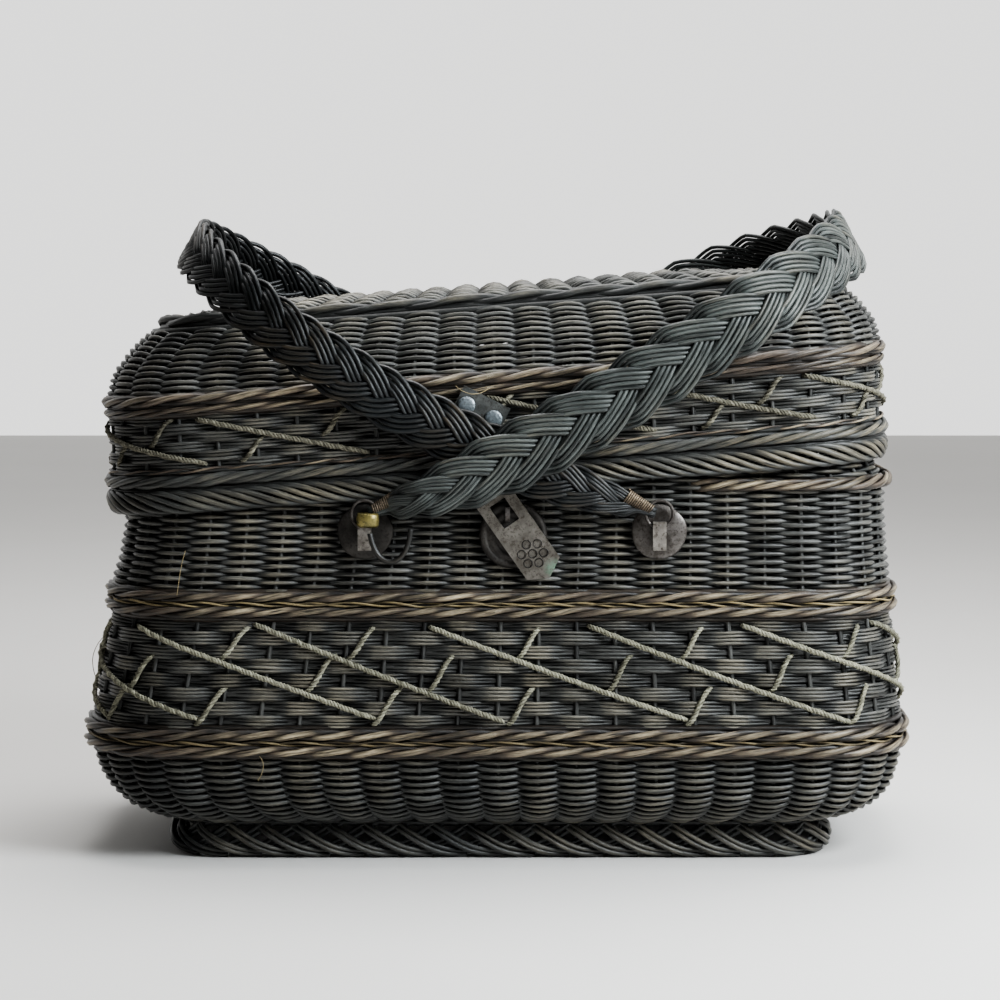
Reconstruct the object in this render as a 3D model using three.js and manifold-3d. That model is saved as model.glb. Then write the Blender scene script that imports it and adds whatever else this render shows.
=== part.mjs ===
// Lidded market basket of woven cane, with two plaited handles and a hasp.
// Millimetres, +Z up, front towards -Y, origin on the floor under the middle.

import * as THREE from 'three';
import { mergeVertices } from 'three/addons/utils/BufferGeometryUtils.js';
import Module from 'manifold-3d';

const wasm = await Module();
wasm.setup();

// Driving dimensions
const GAP = 0.3;
const WELD = 1e-4;
const BODY_WALL = 4;
const LID_WALL = 3;
const FOOT_WALL = 6.5;
const FOOT_GAP_COUNT = 54;
const FOOT_GAP = { halfWidth: 4, halfHeight: 3, z: 10.2, depth: 12 };
const LID_SLOPE = 0.073;

// Facets round a quarter of the basket's plan
const LONG_STEPS = 2;
const ARC_STEPS = 5;
const END_STEPS = 1;

// Facets of the small round pieces
const CURVE_STEPS = 6;
const RING_FACETS = { sides: 5, steps: 14 };
const STRAP_EYE_FACETS = { sides: 6, steps: 16 };
const DISC_FACETS = 18;
const ESCUTCHEON_FACETS = 22;
const RIVET_FACETS = 14;
const DIMPLE_FACETS = 10;

// Sections of the foot, from the floor up: how far each stands out from the plan
const FOOT_PLAN = { halfWidth: 150.8, halfDepth: 70, corner: 26, shift: 2 };
const FOOT_SECTIONS = [
  { z: 0, out: 0 },
  { z: 4.5, out: 2 },
  { z: 16.1, out: -1 },
];

// Sections of the body's outside, from the floor up; the shift moves a section's middle along X
const BODY_SECTIONS = [
  { z: 16.5, halfWidth: 151.5, halfDepth: 68, corner: 26, shift: 2.6 },
  { z: 18.7, halfWidth: 162, halfDepth: 75.5, corner: 32, shift: 2.6 },
  { z: 22.7, halfWidth: 170.5, halfDepth: 81, corner: 36, shift: 2.4 },
  { z: 29, halfWidth: 178, halfDepth: 85.5, corner: 40, shift: 2 },
  { z: 38.4, halfWidth: 183.3, halfDepth: 88, corner: 43, shift: 1 },
  { z: 48.8, halfWidth: 186, halfDepth: 89, corner: 45, shift: 0.3 },
  { z: 56, halfWidth: 186.6, halfDepth: 89, corner: 45, shift: 0 },
  { z: 63.2, halfWidth: 186, halfDepth: 88.8, corner: 45, shift: 0.2 },
  { z: 87.2, halfWidth: 183, halfDepth: 87, corner: 45, shift: 1.2 },
  { z: 111, halfWidth: 179.7, halfDepth: 84.5, corner: 45, shift: 2 },
  { z: 117.3, halfWidth: 178.8, halfDepth: 83, corner: 45, shift: 2 },
  { z: 125, halfWidth: 179.4, halfDepth: 81.3, corner: 45, shift: 2 },
  { z: 133, halfWidth: 177.2, halfDepth: 79.6, corner: 44, shift: 3 },
  { z: 155, halfWidth: 174.8, halfDepth: 76.1, corner: 43, shift: 4.1 },
  { z: 166, halfWidth: 174.6, halfDepth: 75.7, corner: 43, shift: 4.2 },
  { z: 173.6, halfWidth: 174.6, halfDepth: 75.5, corner: 43, shift: 4.2 },
  { z: 176.5, halfWidth: 168.5, halfDepth: 75.5, corner: 40, shift: 4.2 },
  { z: 184, halfWidth: 168.5, halfDepth: 75.5, corner: 40, shift: 4.2 },
];

// Sections of the lid's outside, from its rim up, before it leans
const LID_SECTIONS = [
  { z: 167.5, halfWidth: 175.6, halfDepth: 79.8, corner: 45, shift: 0.9 },
  { z: 177, halfWidth: 177.5, halfDepth: 79.8, corner: 46, shift: -0.2 },
  { z: 186.6, halfWidth: 177.5, halfDepth: 79.8, corner: 46, shift: -0.4 },
  { z: 212, halfWidth: 177.5, halfDepth: 79.8, corner: 46, shift: -1 },
  { z: 216.7, halfWidth: 177.5, halfDepth: 79.4, corner: 46, shift: -1.4 },
  { z: 221.4, halfWidth: 177.5, halfDepth: 77.5, corner: 46, shift: -1.4 },
  { z: 231, halfWidth: 176, halfDepth: 71, corner: 44, shift: -1.4 },
  { z: 241.5, halfWidth: 168.5, halfDepth: 61.5, corner: 42, shift: -1.4 },
  { z: 249, halfWidth: 161, halfDepth: 52, corner: 40, shift: -1.4 },
  { z: 252.5, halfWidth: 154, halfDepth: 46, corner: 38, shift: -1.4 },
  { z: 255.5, halfWidth: 143, halfDepth: 38, corner: 32, shift: -1.4 },
  { z: 258, halfWidth: 122, halfDepth: 24, corner: 20, shift: -1.4 },
];

// The woven walls are made in parts, so that none closes round the inside: the rows each runs between
const BODY_PARTS = [
  { name: 'body_bowl', first: 0, last: 3, closedEnd: 'low' },
  { name: 'body_base', first: 3, last: 6, closedEnd: 'none' },
  { name: 'body_band', first: 6, last: 10, closedEnd: 'none' },
  { name: 'body_upper', first: 10, last: 14, closedEnd: 'none' },
  { name: 'body_rim', first: 14, last: 17, closedEnd: 'none' },
];
const LID_PARTS = [
  { name: 'lid_band', first: 0, last: 4, closedEnd: 'none' },
  { name: 'lid_dome', first: 4, last: 7, closedEnd: 'none' },
  { name: 'lid_top', first: 7, last: 11, closedEnd: 'high' },
];
const WALL_HALVES = [
  { name: 'front', side: -1 },
  { name: 'back', side: 1 },
];
const CUT_BLOCK = 600;

// Bands of twisted rods: the height they cover and how far they stand proud
const BODY_BANDS = [
  { name: 'body_lower_wale', low: 48.8, middle: 56, high: 63.2, proud: 4 },
  { name: 'body_upper_wale', low: 111, middle: 117.3, high: 123.6, proud: 3.5 },
];
const LID_BANDS = [
  { name: 'lid_border', low: 167.5, middle: 177, high: 186.6, proud: 2 },
  { name: 'lid_wale', low: 212, middle: 216.7, high: 221.4, proud: 2.2 },
  { name: 'lid_ridge_wale', low: 249, middle: 252.5, high: 255, proud: 3 },
];
const BAND_EDGE_SHARE = 0.6;

// The band at the body's rim shows only past this X, where the lid stands clear of it
const RIM_WALE = { name: 'body_rim_wale', low: 167.4, middle: 170.5, high: 173.6, proud: 5, startX: 96 };

// Handles: each is a loop that hangs from rings on one half of the basket and leans to the other half
const RING = { z: 158.2, out: 85, radius: 6, wire: 0.7 };
const HANDLES = [
  {
    name: 'handle_right', rings: 'left', pivotX: -58.5, heading: 28.72,
    length: 255, endLength: 76, halfSpan: 96.5, width: 32,
    frontSag: { depth: 9.2, fall: 2 }, backSag: { depth: -14, fall: 1 },
  },
  {
    name: 'handle_left', rings: 'right', pivotX: 72.4, heading: 180 - 29.21,
    length: 246.3, endLength: 98, halfSpan: 89, width: 26.5,
    frontSag: { depth: 14.2, fall: 1 }, backSag: { depth: 0, fall: 1 },
  },
];
const STRAP = { thickness: 6.5, neckWidth: 5.2, neckThickness: 3.4, bevel: 1.6 };
const STRAP_EYE_GAP = 0.35;
const LEG_STEPS = 5;
const TURN_STEPS = 8;

// How a strap grows from its neck: shares of its full width, thickness and spread
const STRAP_GROWTH = [
  { along: 1.8, width: 0, thickness: 0, spread: 0 },
  { along: 10.5, width: 0, thickness: 0, spread: 0.03 },
  { along: 15, width: 0.35, thickness: 0.5, spread: 0.3 },
  { along: 27, width: 0.55, thickness: 0.9, spread: 0.92 },
  { along: 45, width: 0.8, thickness: 1, spread: 1 },
  { along: 70, width: 1, thickness: 1, spread: 1 },
];

// Metal fittings: the distance out from the middle plane is given as back and face
const DISC = { radius: 12.3, z: 149.9, back: 80.5, rim: 1, crown: 1.7, crownRadius: 6 };
const STAPLE = {
  width: 6, back: 82.6, face: 87.2, sheet: 1.1, top: 154.8, backFoot: 145.9, faceFoot: 142.1,
};
const ESCUTCHEON = { x: 7.4, z: 148.6, back: 80.8 };
const ESCUTCHEON_PROFILE = [
  { radius: 15, height: 0.7 },
  { radius: 13.1, height: 1.5 },
  { radius: 11.6, height: 0.9 },
  { radius: 9.7, height: 1.8 },
  { radius: 8, height: 1.2 },
  { radius: 5.9, height: 1.8 },
];
const TONGUE = {
  pivotX: -7.5, pivotZ: 174.3, swing: 35, width: 17.8, length: 54.5, point: 5, back: 83, sheet: 1,
  windowLow: 29.5, windowHigh: 41, windowWidth: 8,
};
const DIMPLES = { count: 6, fromTip: 13.2, spread: 4.9, radius: 1.85, depth: 0.45 };
const EYE = { x: 5, z: 158, back: 82.9, face: 88, halfHeight: 3.2, wall: 1.4, width: 2 };
const LEAF = {
  x: -7.3, z: 203.4, swing: 27, width: 23, height: 15, tabWidth: 11, tabLow: 179.9, back: 82.9, sheet: 1,
};
const RIVET = { spacing: 13.4, back: 84.2 };
const RIVET_PROFILE = [
  { radius: 4, height: 0.45 },
  { radius: 3.2, height: 1 },
  { radius: 1.6, height: 1.3 },
];
const HINGE = {
  x: 5, width: 24, low: 134, step: 158.5, high: 184, lowBack: 80.7, highBack: 82.9, sheet: 1.2, knuckle: 2,
};

const MATERIALS = {
  cane: { color: 0x2f312e, roughness: 0.75, metalness: 0 },
  rods: { color: 0x4b3e31, roughness: 0.7, metalness: 0 },
  strap: { color: 0x2a2c2a, roughness: 0.65, metalness: 0 },
  iron: { color: 0x4a4440, roughness: 0.6, metalness: 0.8 },
};

// Solids

// Welds a geometry's corners, drops empty faces and turns its faces outward
function weld(geometry) {
  const bare = geometry.clone();
  bare.deleteAttribute('normal');
  bare.deleteAttribute('uv');
  const merged = mergeVertices(bare, WELD);
  const position = merged.getAttribute('position');
  const corners = merged.getIndex().array;
  const faces = [];
  const a = new THREE.Vector3();
  const b = new THREE.Vector3();
  const c = new THREE.Vector3();
  let volume = 0;
  for (let i = 0; i < corners.length; i += 3) {
    const [p, q, r] = [corners[i], corners[i + 1], corners[i + 2]];
    if (p === q || q === r || r === p) continue;
    faces.push([p, q, r]);
    a.fromBufferAttribute(position, p);
    b.fromBufferAttribute(position, q);
    c.fromBufferAttribute(position, r);
    volume += a.dot(b.cross(c));
  }
  const outward = volume > 0 ? faces : faces.map(([p, q, r]) => [p, r, q]);
  const welded = new THREE.BufferGeometry();
  welded.setAttribute('position', position);
  welded.setIndex(outward.flat());
  return welded;
}

function toSolid(geometry) {
  const welded = weld(geometry);
  const mesh = new wasm.Mesh({
    numProp: 3,
    vertProperties: new Float32Array(welded.getAttribute('position').array),
    triVerts: new Uint32Array(welded.getIndex().array),
  });
  return new wasm.Manifold(mesh);
}

function toGeometry(solid) {
  const mesh = solid.getMesh();
  const geometry = new THREE.BufferGeometry();
  geometry.setAttribute('position', new THREE.BufferAttribute(mesh.vertProperties, 3));
  geometry.setIndex(new THREE.BufferAttribute(mesh.triVerts, 1));
  return geometry;
}

function cut(geometry, cutters) {
  const solid = cutters.reduce((rest, cutter) => rest.subtract(toSolid(cutter)), toSolid(geometry));
  return toGeometry(solid);
}

function makeMesh(name, geometry, materialName) {
  const mesh = new THREE.Mesh(weld(geometry), new THREE.MeshStandardMaterial(MATERIALS[materialName]));
  mesh.name = name;
  return mesh;
}

// Joins rings of points into a skin, closed on itself or capped at both ends
function loft(rings, closedOnItself) {
  const count = rings[0].length;
  const positions = rings.flat().flatMap((point) => point.toArray());
  const faces = [];
  const bands = closedOnItself ? rings.length : rings.length - 1;
  for (let i = 0; i < bands; i++) {
    const low = i * count;
    const high = ((i + 1) % rings.length) * count;
    for (let j = 0; j < count; j++) {
      const next = (j + 1) % count;
      faces.push(low + j, low + next, high + next, low + j, high + next, high + j);
    }
  }
  if (!closedOnItself) {
    const addCap = (first, flipped, centre) => {
      const hub = positions.length / 3;
      positions.push(...centre.toArray());
      for (let j = 0; j < count; j++) {
        const next = (j + 1) % count;
        const pair = flipped ? [first + next, first + j] : [first + j, first + next];
        faces.push(hub, ...pair);
      }
    };
    addCap(0, true, ringCentre(rings[0]));
    addCap((rings.length - 1) * count, false, ringCentre(rings[rings.length - 1]));
  }
  const geometry = new THREE.BufferGeometry();
  geometry.setAttribute('position', new THREE.Float32BufferAttribute(positions, 3));
  geometry.setIndex(faces);
  return geometry;
}

function ringCentre(ring) {
  const sum = ring.reduce((total, point) => total.add(point), new THREE.Vector3());
  return sum.divideScalar(ring.length);
}

// Plan of the basket

function quarterPlan({ halfWidth, halfDepth, corner }) {
  const endStraight = halfDepth - corner;
  const sideStraight = halfWidth - corner;
  const points = [];
  for (let i = 0; i < END_STEPS; i++) {
    points.push([halfWidth, (endStraight * i) / END_STEPS]);
  }
  for (let i = 0; i < ARC_STEPS; i++) {
    const angle = (Math.PI / 2) * (i / ARC_STEPS);
    points.push([sideStraight + corner * Math.cos(angle), endStraight + corner * Math.sin(angle)]);
  }
  for (let i = 0; i <= LONG_STEPS; i++) {
    points.push([sideStraight * (1 - i / LONG_STEPS), halfDepth]);
  }
  return points;
}

function planRing(section, z) {
  const quarter = quarterPlan(section);
  const mirrored = quarter.map(([x, y]) => [-x, y]).reverse();
  const half = [...quarter, ...mirrored.slice(1, -1)];
  const whole = [...half, ...half.map(([x, y]) => [-x, -y])];
  return whole.map(([x, y]) => new THREE.Vector3(x + section.shift, y, z));
}

function grown(section, amount) {
  return {
    ...section,
    halfWidth: section.halfWidth + amount,
    halfDepth: section.halfDepth + amount,
    corner: section.corner + amount,
  };
}

// The section at a height, between two rows of a table
function sectionAt(sections, z) {
  const upper = Math.max(1, sections.findIndex((row) => row.z >= z));
  const [low, high] = [sections[upper - 1], sections[upper]];
  const share = (z - low.z) / (high.z - low.z);
  const between = (column) => THREE.MathUtils.lerp(low[column], high[column], share);
  return {
    z,
    halfWidth: between('halfWidth'),
    halfDepth: between('halfDepth'),
    corner: between('corner'),
    shift: between('shift'),
  };
}

// The ring of a wall's inner face at a row, the wall's thickness inside it
function innerRing(sections, i, wall, lift) {
  const row = sections[i];
  const before = sections[Math.max(0, i - 1)];
  const after = sections[Math.min(sections.length - 1, i + 1)];
  const rise = new THREE.Vector2(after.halfDepth - before.halfDepth, after.z - before.z).normalize();
  return planRing(grown(row, -wall * rise.y), row.z + wall * rise.x + lift);
}

// Woven pieces

// One part of a wall, with a small gap to the part below; its inner face follows every other row
function makeWall(sections, wall, { first, last, closedEnd }) {
  const outer = [];
  const inner = [];
  for (let i = first; i <= last; i++) {
    const lift = i === first && first > 0 ? GAP : 0;
    outer.push(planRing(sections[i], sections[i].z + lift));
    if ((i - first) % 2 === 0 || i === last) {
      inner.push(innerRing(sections, i, wall, lift));
    }
  }
  inner.reverse();
  if (closedEnd === 'high') return loft([...inner, ...outer], false);
  return loft([...outer, ...inner], closedEnd === 'none');
}

// One half of a wall: a block takes the other half away, up to half of the gap between them
function halfWall(wall, side) {
  const otherHalf = new THREE.BoxGeometry(CUT_BLOCK, CUT_BLOCK, CUT_BLOCK);
  otherHalf.translate(0, (-side * (CUT_BLOCK - GAP)) / 2, 0);
  return cut(wall, [otherHalf]);
}

// A band of rods that lies round a shell, with a small gap to it
function makeBand(sections, { low, middle, high, proud }) {
  const heights = [low, middle, high];
  const bed = heights.map((z) => planRing(grown(sectionAt(sections, z), GAP), z));
  const shares = [BAND_EDGE_SHARE, 1, BAND_EDGE_SHARE];
  const face = heights.map((z, i) => planRing(grown(sectionAt(sections, z), proud * shares[i]), z));
  return loft([...face, ...bed.reverse()], true);
}

function makeRimWale() {
  const hiddenPart = new THREE.BoxGeometry(CUT_BLOCK, CUT_BLOCK, CUT_BLOCK);
  hiddenPart.translate(RIM_WALE.startX - CUT_BLOCK / 2, 0, 0);
  return cut(makeBand(BODY_SECTIONS, RIM_WALE), [hiddenPart]);
}

// The lid sits askew: it rises towards +X
function lean(geometry) {
  const position = geometry.getAttribute('position');
  for (let i = 0; i < position.count; i++) {
    position.setZ(i, position.getZ(i) + position.getX(i) * LID_SLOPE);
  }
  return geometry;
}

function footPath() {
  const { halfWidth, halfDepth, corner } = FOOT_PLAN;
  const sideStraight = halfWidth - corner;
  const endStraight = halfDepth - corner;
  const path = new THREE.Path();
  path.moveTo(halfWidth, -endStraight);
  path.lineTo(halfWidth, endStraight);
  path.absarc(sideStraight, endStraight, corner, 0, Math.PI / 2);
  path.lineTo(-sideStraight, halfDepth);
  path.absarc(-sideStraight, endStraight, corner, Math.PI / 2, Math.PI);
  path.lineTo(-halfWidth, -endStraight);
  path.absarc(-sideStraight, -endStraight, corner, Math.PI, 1.5 * Math.PI);
  path.lineTo(sideStraight, -halfDepth);
  path.absarc(sideStraight, -endStraight, corner, 1.5 * Math.PI, 2 * Math.PI);
  return path;
}

// A diamond bar that points straight out through the foot at a share of its way round
function footGapBar(path, share) {
  const { halfWidth, halfHeight, z, depth } = FOOT_GAP;
  const diamond = new THREE.Shape([
    new THREE.Vector2(halfWidth, 0),
    new THREE.Vector2(0, halfHeight),
    new THREE.Vector2(-halfWidth, 0),
    new THREE.Vector2(0, -halfHeight),
  ]);
  const bar = new THREE.ExtrudeGeometry(diamond, { depth: 2 * depth, bevelEnabled: false });
  bar.translate(0, 0, -depth);
  const place = path.getPointAt(share);
  const along = path.getTangentAt(share);
  const outward = new THREE.Vector3(along.y, -along.x, 0);
  const frame = new THREE.Matrix4().makeBasis(
    new THREE.Vector3(along.x, along.y, 0),
    new THREE.Vector3(0, 0, 1),
    outward,
  );
  frame.setPosition(place.x + FOOT_PLAN.shift, place.y, z);
  return bar.applyMatrix4(frame);
}

function makeFootRing() {
  const outer = FOOT_SECTIONS.map(({ z, out }) => planRing(grown(FOOT_PLAN, out), z));
  const inner = FOOT_SECTIONS.map(({ z, out }) => planRing(grown(FOOT_PLAN, out - FOOT_WALL), z));
  const path = footPath();
  const bars = [];
  for (let i = 0; i < FOOT_GAP_COUNT; i++) {
    bars.push(footGapBar(path, i / FOOT_GAP_COUNT));
  }
  return cut(loft([...outer, ...inner.reverse()], true), bars);
}

// Handles, in a frame of their own: X runs from the rings to the far end, Z across the strap

function growthAt(along) {
  const last = STRAP_GROWTH.length - 1;
  const upper = STRAP_GROWTH.findIndex((row) => row.along >= along);
  if (upper < 0) return STRAP_GROWTH[last];
  if (upper === 0) return STRAP_GROWTH[0];
  const [low, high] = [STRAP_GROWTH[upper - 1], STRAP_GROWTH[upper]];
  const share = (along - low.along) / (high.along - low.along);
  const between = (column) => THREE.MathUtils.lerp(low[column], high[column], share);
  return { width: between('width'), thickness: between('thickness'), spread: between('spread') };
}

// A strap's sag grows from its rings to its greatest depth and then falls off to its far end
function sagAt(handle, along, side) {
  const { depth, fall } = side < 0 ? handle.frontSag : handle.backSag;
  const up = Math.sign(Math.cos(THREE.MathUtils.degToRad(handle.heading)));
  const share = along / handle.length;
  const peak = fall ** fall / (fall + 1) ** (fall + 1);
  return (-up * depth * share * (1 - share) ** fall) / peak;
}

// Where the middle of the strap runs on one side, with the direction it faces
function halfStations(handle) {
  const turnStart = handle.length - handle.endLength;
  const stations = [];
  const legPoints = STRAP_GROWTH.map((row) => row.along);
  const legStart = legPoints[legPoints.length - 1];
  for (let i = 1; i < LEG_STEPS; i++) {
    legPoints.push(THREE.MathUtils.lerp(legStart, turnStart, i / LEG_STEPS));
  }
  for (const along of legPoints) {
    const growth = growthAt(along);
    const out = THREE.MathUtils.lerp(RING.out, handle.halfSpan, growth.spread);
    stations.push({ along, out, facing: [0, 1], growth });
  }
  for (let i = 0; i <= TURN_STEPS; i++) {
    const angle = (Math.PI / 2) * (i / TURN_STEPS);
    const facing = new THREE.Vector2(Math.sin(angle) / handle.endLength, Math.cos(angle) / handle.halfSpan);
    stations.push({
      along: turnStart + handle.endLength * Math.sin(angle),
      out: handle.halfSpan * Math.cos(angle),
      facing: facing.normalize().toArray(),
      growth: growthAt(turnStart),
    });
  }
  return stations;
}

// Eight corners of the strap's section at a station, on the side given by its sign
function strapSection(handle, station, side) {
  const { along, out, facing, growth } = station;
  const halfWidth = THREE.MathUtils.lerp(STRAP.neckWidth, handle.width, growth.width) / 2;
  const halfThick = THREE.MathUtils.lerp(STRAP.neckThickness, STRAP.thickness, growth.thickness) / 2;
  const flat = halfWidth - Math.min(STRAP.bevel, halfWidth / 4);
  const edge = halfThick / 2;
  const corners = [
    [flat, halfThick], [halfWidth, edge], [halfWidth, -edge], [flat, -halfThick],
    [-flat, -halfThick], [-halfWidth, -edge], [-halfWidth, edge], [-flat, halfThick],
  ];
  const sag = sagAt(handle, along, side);
  return corners.map(([across, outward]) => new THREE.Vector3(
    along + facing[0] * outward,
    side * (out + facing[1] * outward),
    across + sag,
  ));
}

function ringGeometry(wire, facets, side) {
  const torus = new THREE.TorusGeometry(RING.radius, wire, facets.sides, facets.steps);
  return torus.rotateX(Math.PI / 2).translate(0, side * RING.out, 0);
}

function makeStrap(handle) {
  const stations = halfStations(handle);
  const front = stations.map((station) => strapSection(handle, station, -1));
  const back = stations.slice(0, -1).map((station) => strapSection(handle, station, 1));
  const strap = loft([...front, ...back.reverse()], false);
  const eyes = [-1, 1].map((side) => ringGeometry(RING.wire + STRAP_EYE_GAP, STRAP_EYE_FACETS, side));
  return cut(strap, eyes);
}

function makeHandle(handle) {
  const group = new THREE.Group();
  group.position.set(handle.pivotX, 0, RING.z);
  group.rotation.y = -THREE.MathUtils.degToRad(handle.heading);
  group.add(makeMesh(handle.name, makeStrap(handle), 'strap'));
  group.add(makeMesh(`ring_${handle.rings}_front`, ringGeometry(RING.wire, RING_FACETS, -1), 'iron'));
  group.add(makeMesh(`ring_${handle.rings}_back`, ringGeometry(RING.wire, RING_FACETS, 1), 'iron'));
  return group;
}

// Metal fittings

// Turns a flat shape drawn in X and Z into a plate whose back lies a given way out to the front
function frontPlate(shape, back, sheet) {
  const plate = new THREE.ExtrudeGeometry(shape, { depth: sheet, bevelEnabled: false });
  return plate.rotateX(Math.PI / 2).translate(0, -back, 0);
}

// Turns a side view, drawn as distance out and height, into a strip of a given width
function sideStrip(outline, width, side) {
  const shape = new THREE.Shape(outline.map(([out, z]) => new THREE.Vector2(out, z)));
  return sideExtrusion(shape, width, side);
}

function sideExtrusion(shape, width, side) {
  const options = { depth: width, bevelEnabled: false, curveSegments: CURVE_STEPS };
  const strip = new THREE.ExtrudeGeometry(shape, options);
  const frame = new THREE.Matrix4().makeBasis(
    new THREE.Vector3(0, side, 0),
    new THREE.Vector3(0, 0, 1),
    new THREE.Vector3(side, 0, 0),
  );
  return strip.translate(0, 0, -width / 2).applyMatrix4(frame);
}

// A round plate with its profile given as radius and height, facing out on one side
function roundPlate(profile, back, steps, side) {
  const points = [new THREE.Vector2(0, 0), new THREE.Vector2(profile[0].radius, 0)];
  for (const { radius, height } of profile) {
    points.push(new THREE.Vector2(radius, height));
  }
  points.push(new THREE.Vector2(0, profile[profile.length - 1].height));
  const plate = new THREE.LatheGeometry(points, steps).translate(0, back, 0);
  return side > 0 ? plate : plate.rotateX(Math.PI);
}

function makeRingCarrier(x, sideName, side) {
  const group = new THREE.Group();
  group.position.x = x;
  const profile = [
    { radius: DISC.radius, height: DISC.rim },
    { radius: DISC.crownRadius, height: DISC.crown },
  ];
  const disc = makeMesh(`disc_${sideName}`, roundPlate(profile, DISC.back, DISC_FACETS, side), 'iron');
  disc.position.z = DISC.z;
  group.add(disc);
  const { back, face, sheet, top, backFoot, faceFoot } = STAPLE;
  const outline = [
    [back, backFoot], [back, top], [face, top], [face, faceFoot],
    [face - sheet, faceFoot], [face - sheet, top - sheet + GAP], [back + sheet, top - sheet + GAP],
    [back + sheet, backFoot],
  ];
  group.add(makeMesh(`staple_${sideName}`, sideStrip(outline, STAPLE.width, side), 'iron'));
  return group;
}

// The tongue is drawn hanging straight down from its pivot, with its point lowest
function makeTongue() {
  const { width, length, point, windowLow, windowHigh, windowWidth, back, sheet } = TONGUE;
  const half = width / 2;
  const shape = new THREE.Shape([
    new THREE.Vector2(-half, 0),
    new THREE.Vector2(-half, point - length),
    new THREE.Vector2(0, -length),
    new THREE.Vector2(half, point - length),
    new THREE.Vector2(half, 0),
  ]);
  const window = new THREE.Path([
    new THREE.Vector2(-windowWidth / 2, windowLow - length),
    new THREE.Vector2(windowWidth / 2, windowLow - length),
    new THREE.Vector2(windowWidth / 2, windowHigh - length),
    new THREE.Vector2(-windowWidth / 2, windowHigh - length),
  ]);
  shape.holes.push(window);
  const plate = frontPlate(shape, back, sheet);
  const middle = new THREE.Vector3(0, -(back + sheet), DIMPLES.fromTip - length);
  const places = [middle];
  for (let i = 0; i < DIMPLES.count; i++) {
    const angle = (2 * Math.PI * i) / DIMPLES.count;
    const offset = new THREE.Vector3(Math.sin(angle), 0, Math.cos(angle)).multiplyScalar(DIMPLES.spread);
    places.push(middle.clone().add(offset));
  }
  const cutters = places.map(({ x, y, z }) => {
    const { radius, depth } = DIMPLES;
    const punch = new THREE.CylinderGeometry(radius, radius, 2 * depth, DIMPLE_FACETS);
    return punch.translate(x, y, z);
  });
  const tongue = makeMesh('hasp_tongue', cut(plate, cutters), 'iron');
  tongue.position.set(TONGUE.pivotX, 0, TONGUE.pivotZ);
  tongue.rotation.y = -THREE.MathUtils.degToRad(TONGUE.swing);
  return tongue;
}

function makeEye() {
  const { x, z, back, face, halfHeight, wall, width } = EYE;
  const round = face - halfHeight;
  const shape = new THREE.Shape();
  shape.moveTo(back, z - halfHeight);
  shape.lineTo(round, z - halfHeight);
  shape.absarc(round, z, halfHeight, -Math.PI / 2, Math.PI / 2);
  shape.lineTo(back, z + halfHeight);
  const hole = new THREE.Path();
  hole.absarc(round, z, halfHeight - wall, 0, 2 * Math.PI);
  shape.holes.push(hole);
  const eye = makeMesh('hasp_eye', sideExtrusion(shape, width, -1), 'iron');
  eye.position.x = x;
  return eye;
}

// The leaf is a slanting plate with a tab that reaches down to the tongue
function makeLeaf() {
  const { x, z, swing, width, height, tabWidth, tabLow, back, sheet } = LEAF;
  const tilt = THREE.MathUtils.degToRad(-swing);
  const middle = new THREE.Vector2(x, z);
  const turned = (u, v) => new THREE.Vector2(x + u, z + v).rotateAround(middle, tilt);
  const shape = new THREE.Shape([
    turned(-width / 2, height / 2),
    turned(-width / 2, -height / 2),
    new THREE.Vector2(TONGUE.pivotX - tabWidth / 2, tabLow),
    new THREE.Vector2(TONGUE.pivotX + tabWidth / 2, tabLow),
    turned(width / 2, -height / 2),
    turned(width / 2, height / 2),
  ]);
  const group = new THREE.Group();
  group.add(makeMesh('hasp_leaf', frontPlate(shape, back, sheet), 'iron'));
  for (const [name, side] of [['left', -1], ['right', 1]]) {
    const place = turned((side * RIVET.spacing) / 2, 0);
    const head = roundPlate(RIVET_PROFILE, RIVET.back, RIVET_FACETS, -1);
    const rivet = makeMesh(`hasp_rivet_${name}`, head, 'iron');
    rivet.position.set(place.x, 0, place.y);
    group.add(rivet);
  }
  return group;
}

function makeHinge() {
  const { x, width, low, step, high, lowBack, highBack, sheet, knuckle } = HINGE;
  const outline = [
    [lowBack, low], [lowBack + sheet, low], [lowBack + sheet, step - knuckle],
    [highBack + knuckle, step - knuckle], [highBack + knuckle, step + knuckle],
    [highBack + sheet, step + knuckle], [highBack + sheet, high], [highBack, high],
    [highBack, step], [lowBack, step],
  ];
  const hinge = makeMesh('lid_hinge', sideStrip(outline, width, 1), 'iron');
  hinge.position.x = x;
  return hinge;
}

// Assembly

const basket = new THREE.Group();
basket.add(makeMesh('foot_ring', makeFootRing(), 'cane'));
for (const { name, side } of WALL_HALVES) {
  for (const part of BODY_PARTS) {
    const wall = makeWall(BODY_SECTIONS, BODY_WALL, part);
    basket.add(makeMesh(`${part.name}_${name}`, halfWall(wall, side), 'cane'));
  }
  for (const part of LID_PARTS) {
    const wall = makeWall(LID_SECTIONS, LID_WALL, part);
    basket.add(makeMesh(`${part.name}_${name}`, lean(halfWall(wall, side)), 'cane'));
  }
}
for (const band of BODY_BANDS) {
  basket.add(makeMesh(band.name, makeBand(BODY_SECTIONS, band), 'rods'));
}
basket.add(makeMesh(RIM_WALE.name, makeRimWale(), 'rods'));
for (const band of LID_BANDS) {
  basket.add(makeMesh(band.name, lean(makeBand(LID_SECTIONS, band)), 'rods'));
}
for (const handle of HANDLES) {
  basket.add(makeHandle(handle));
  basket.add(makeRingCarrier(handle.pivotX, `${handle.rings}_front`, -1));
  basket.add(makeRingCarrier(handle.pivotX, `${handle.rings}_back`, 1));
}
const ridges = roundPlate(ESCUTCHEON_PROFILE, ESCUTCHEON.back, ESCUTCHEON_FACETS, -1);
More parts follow.
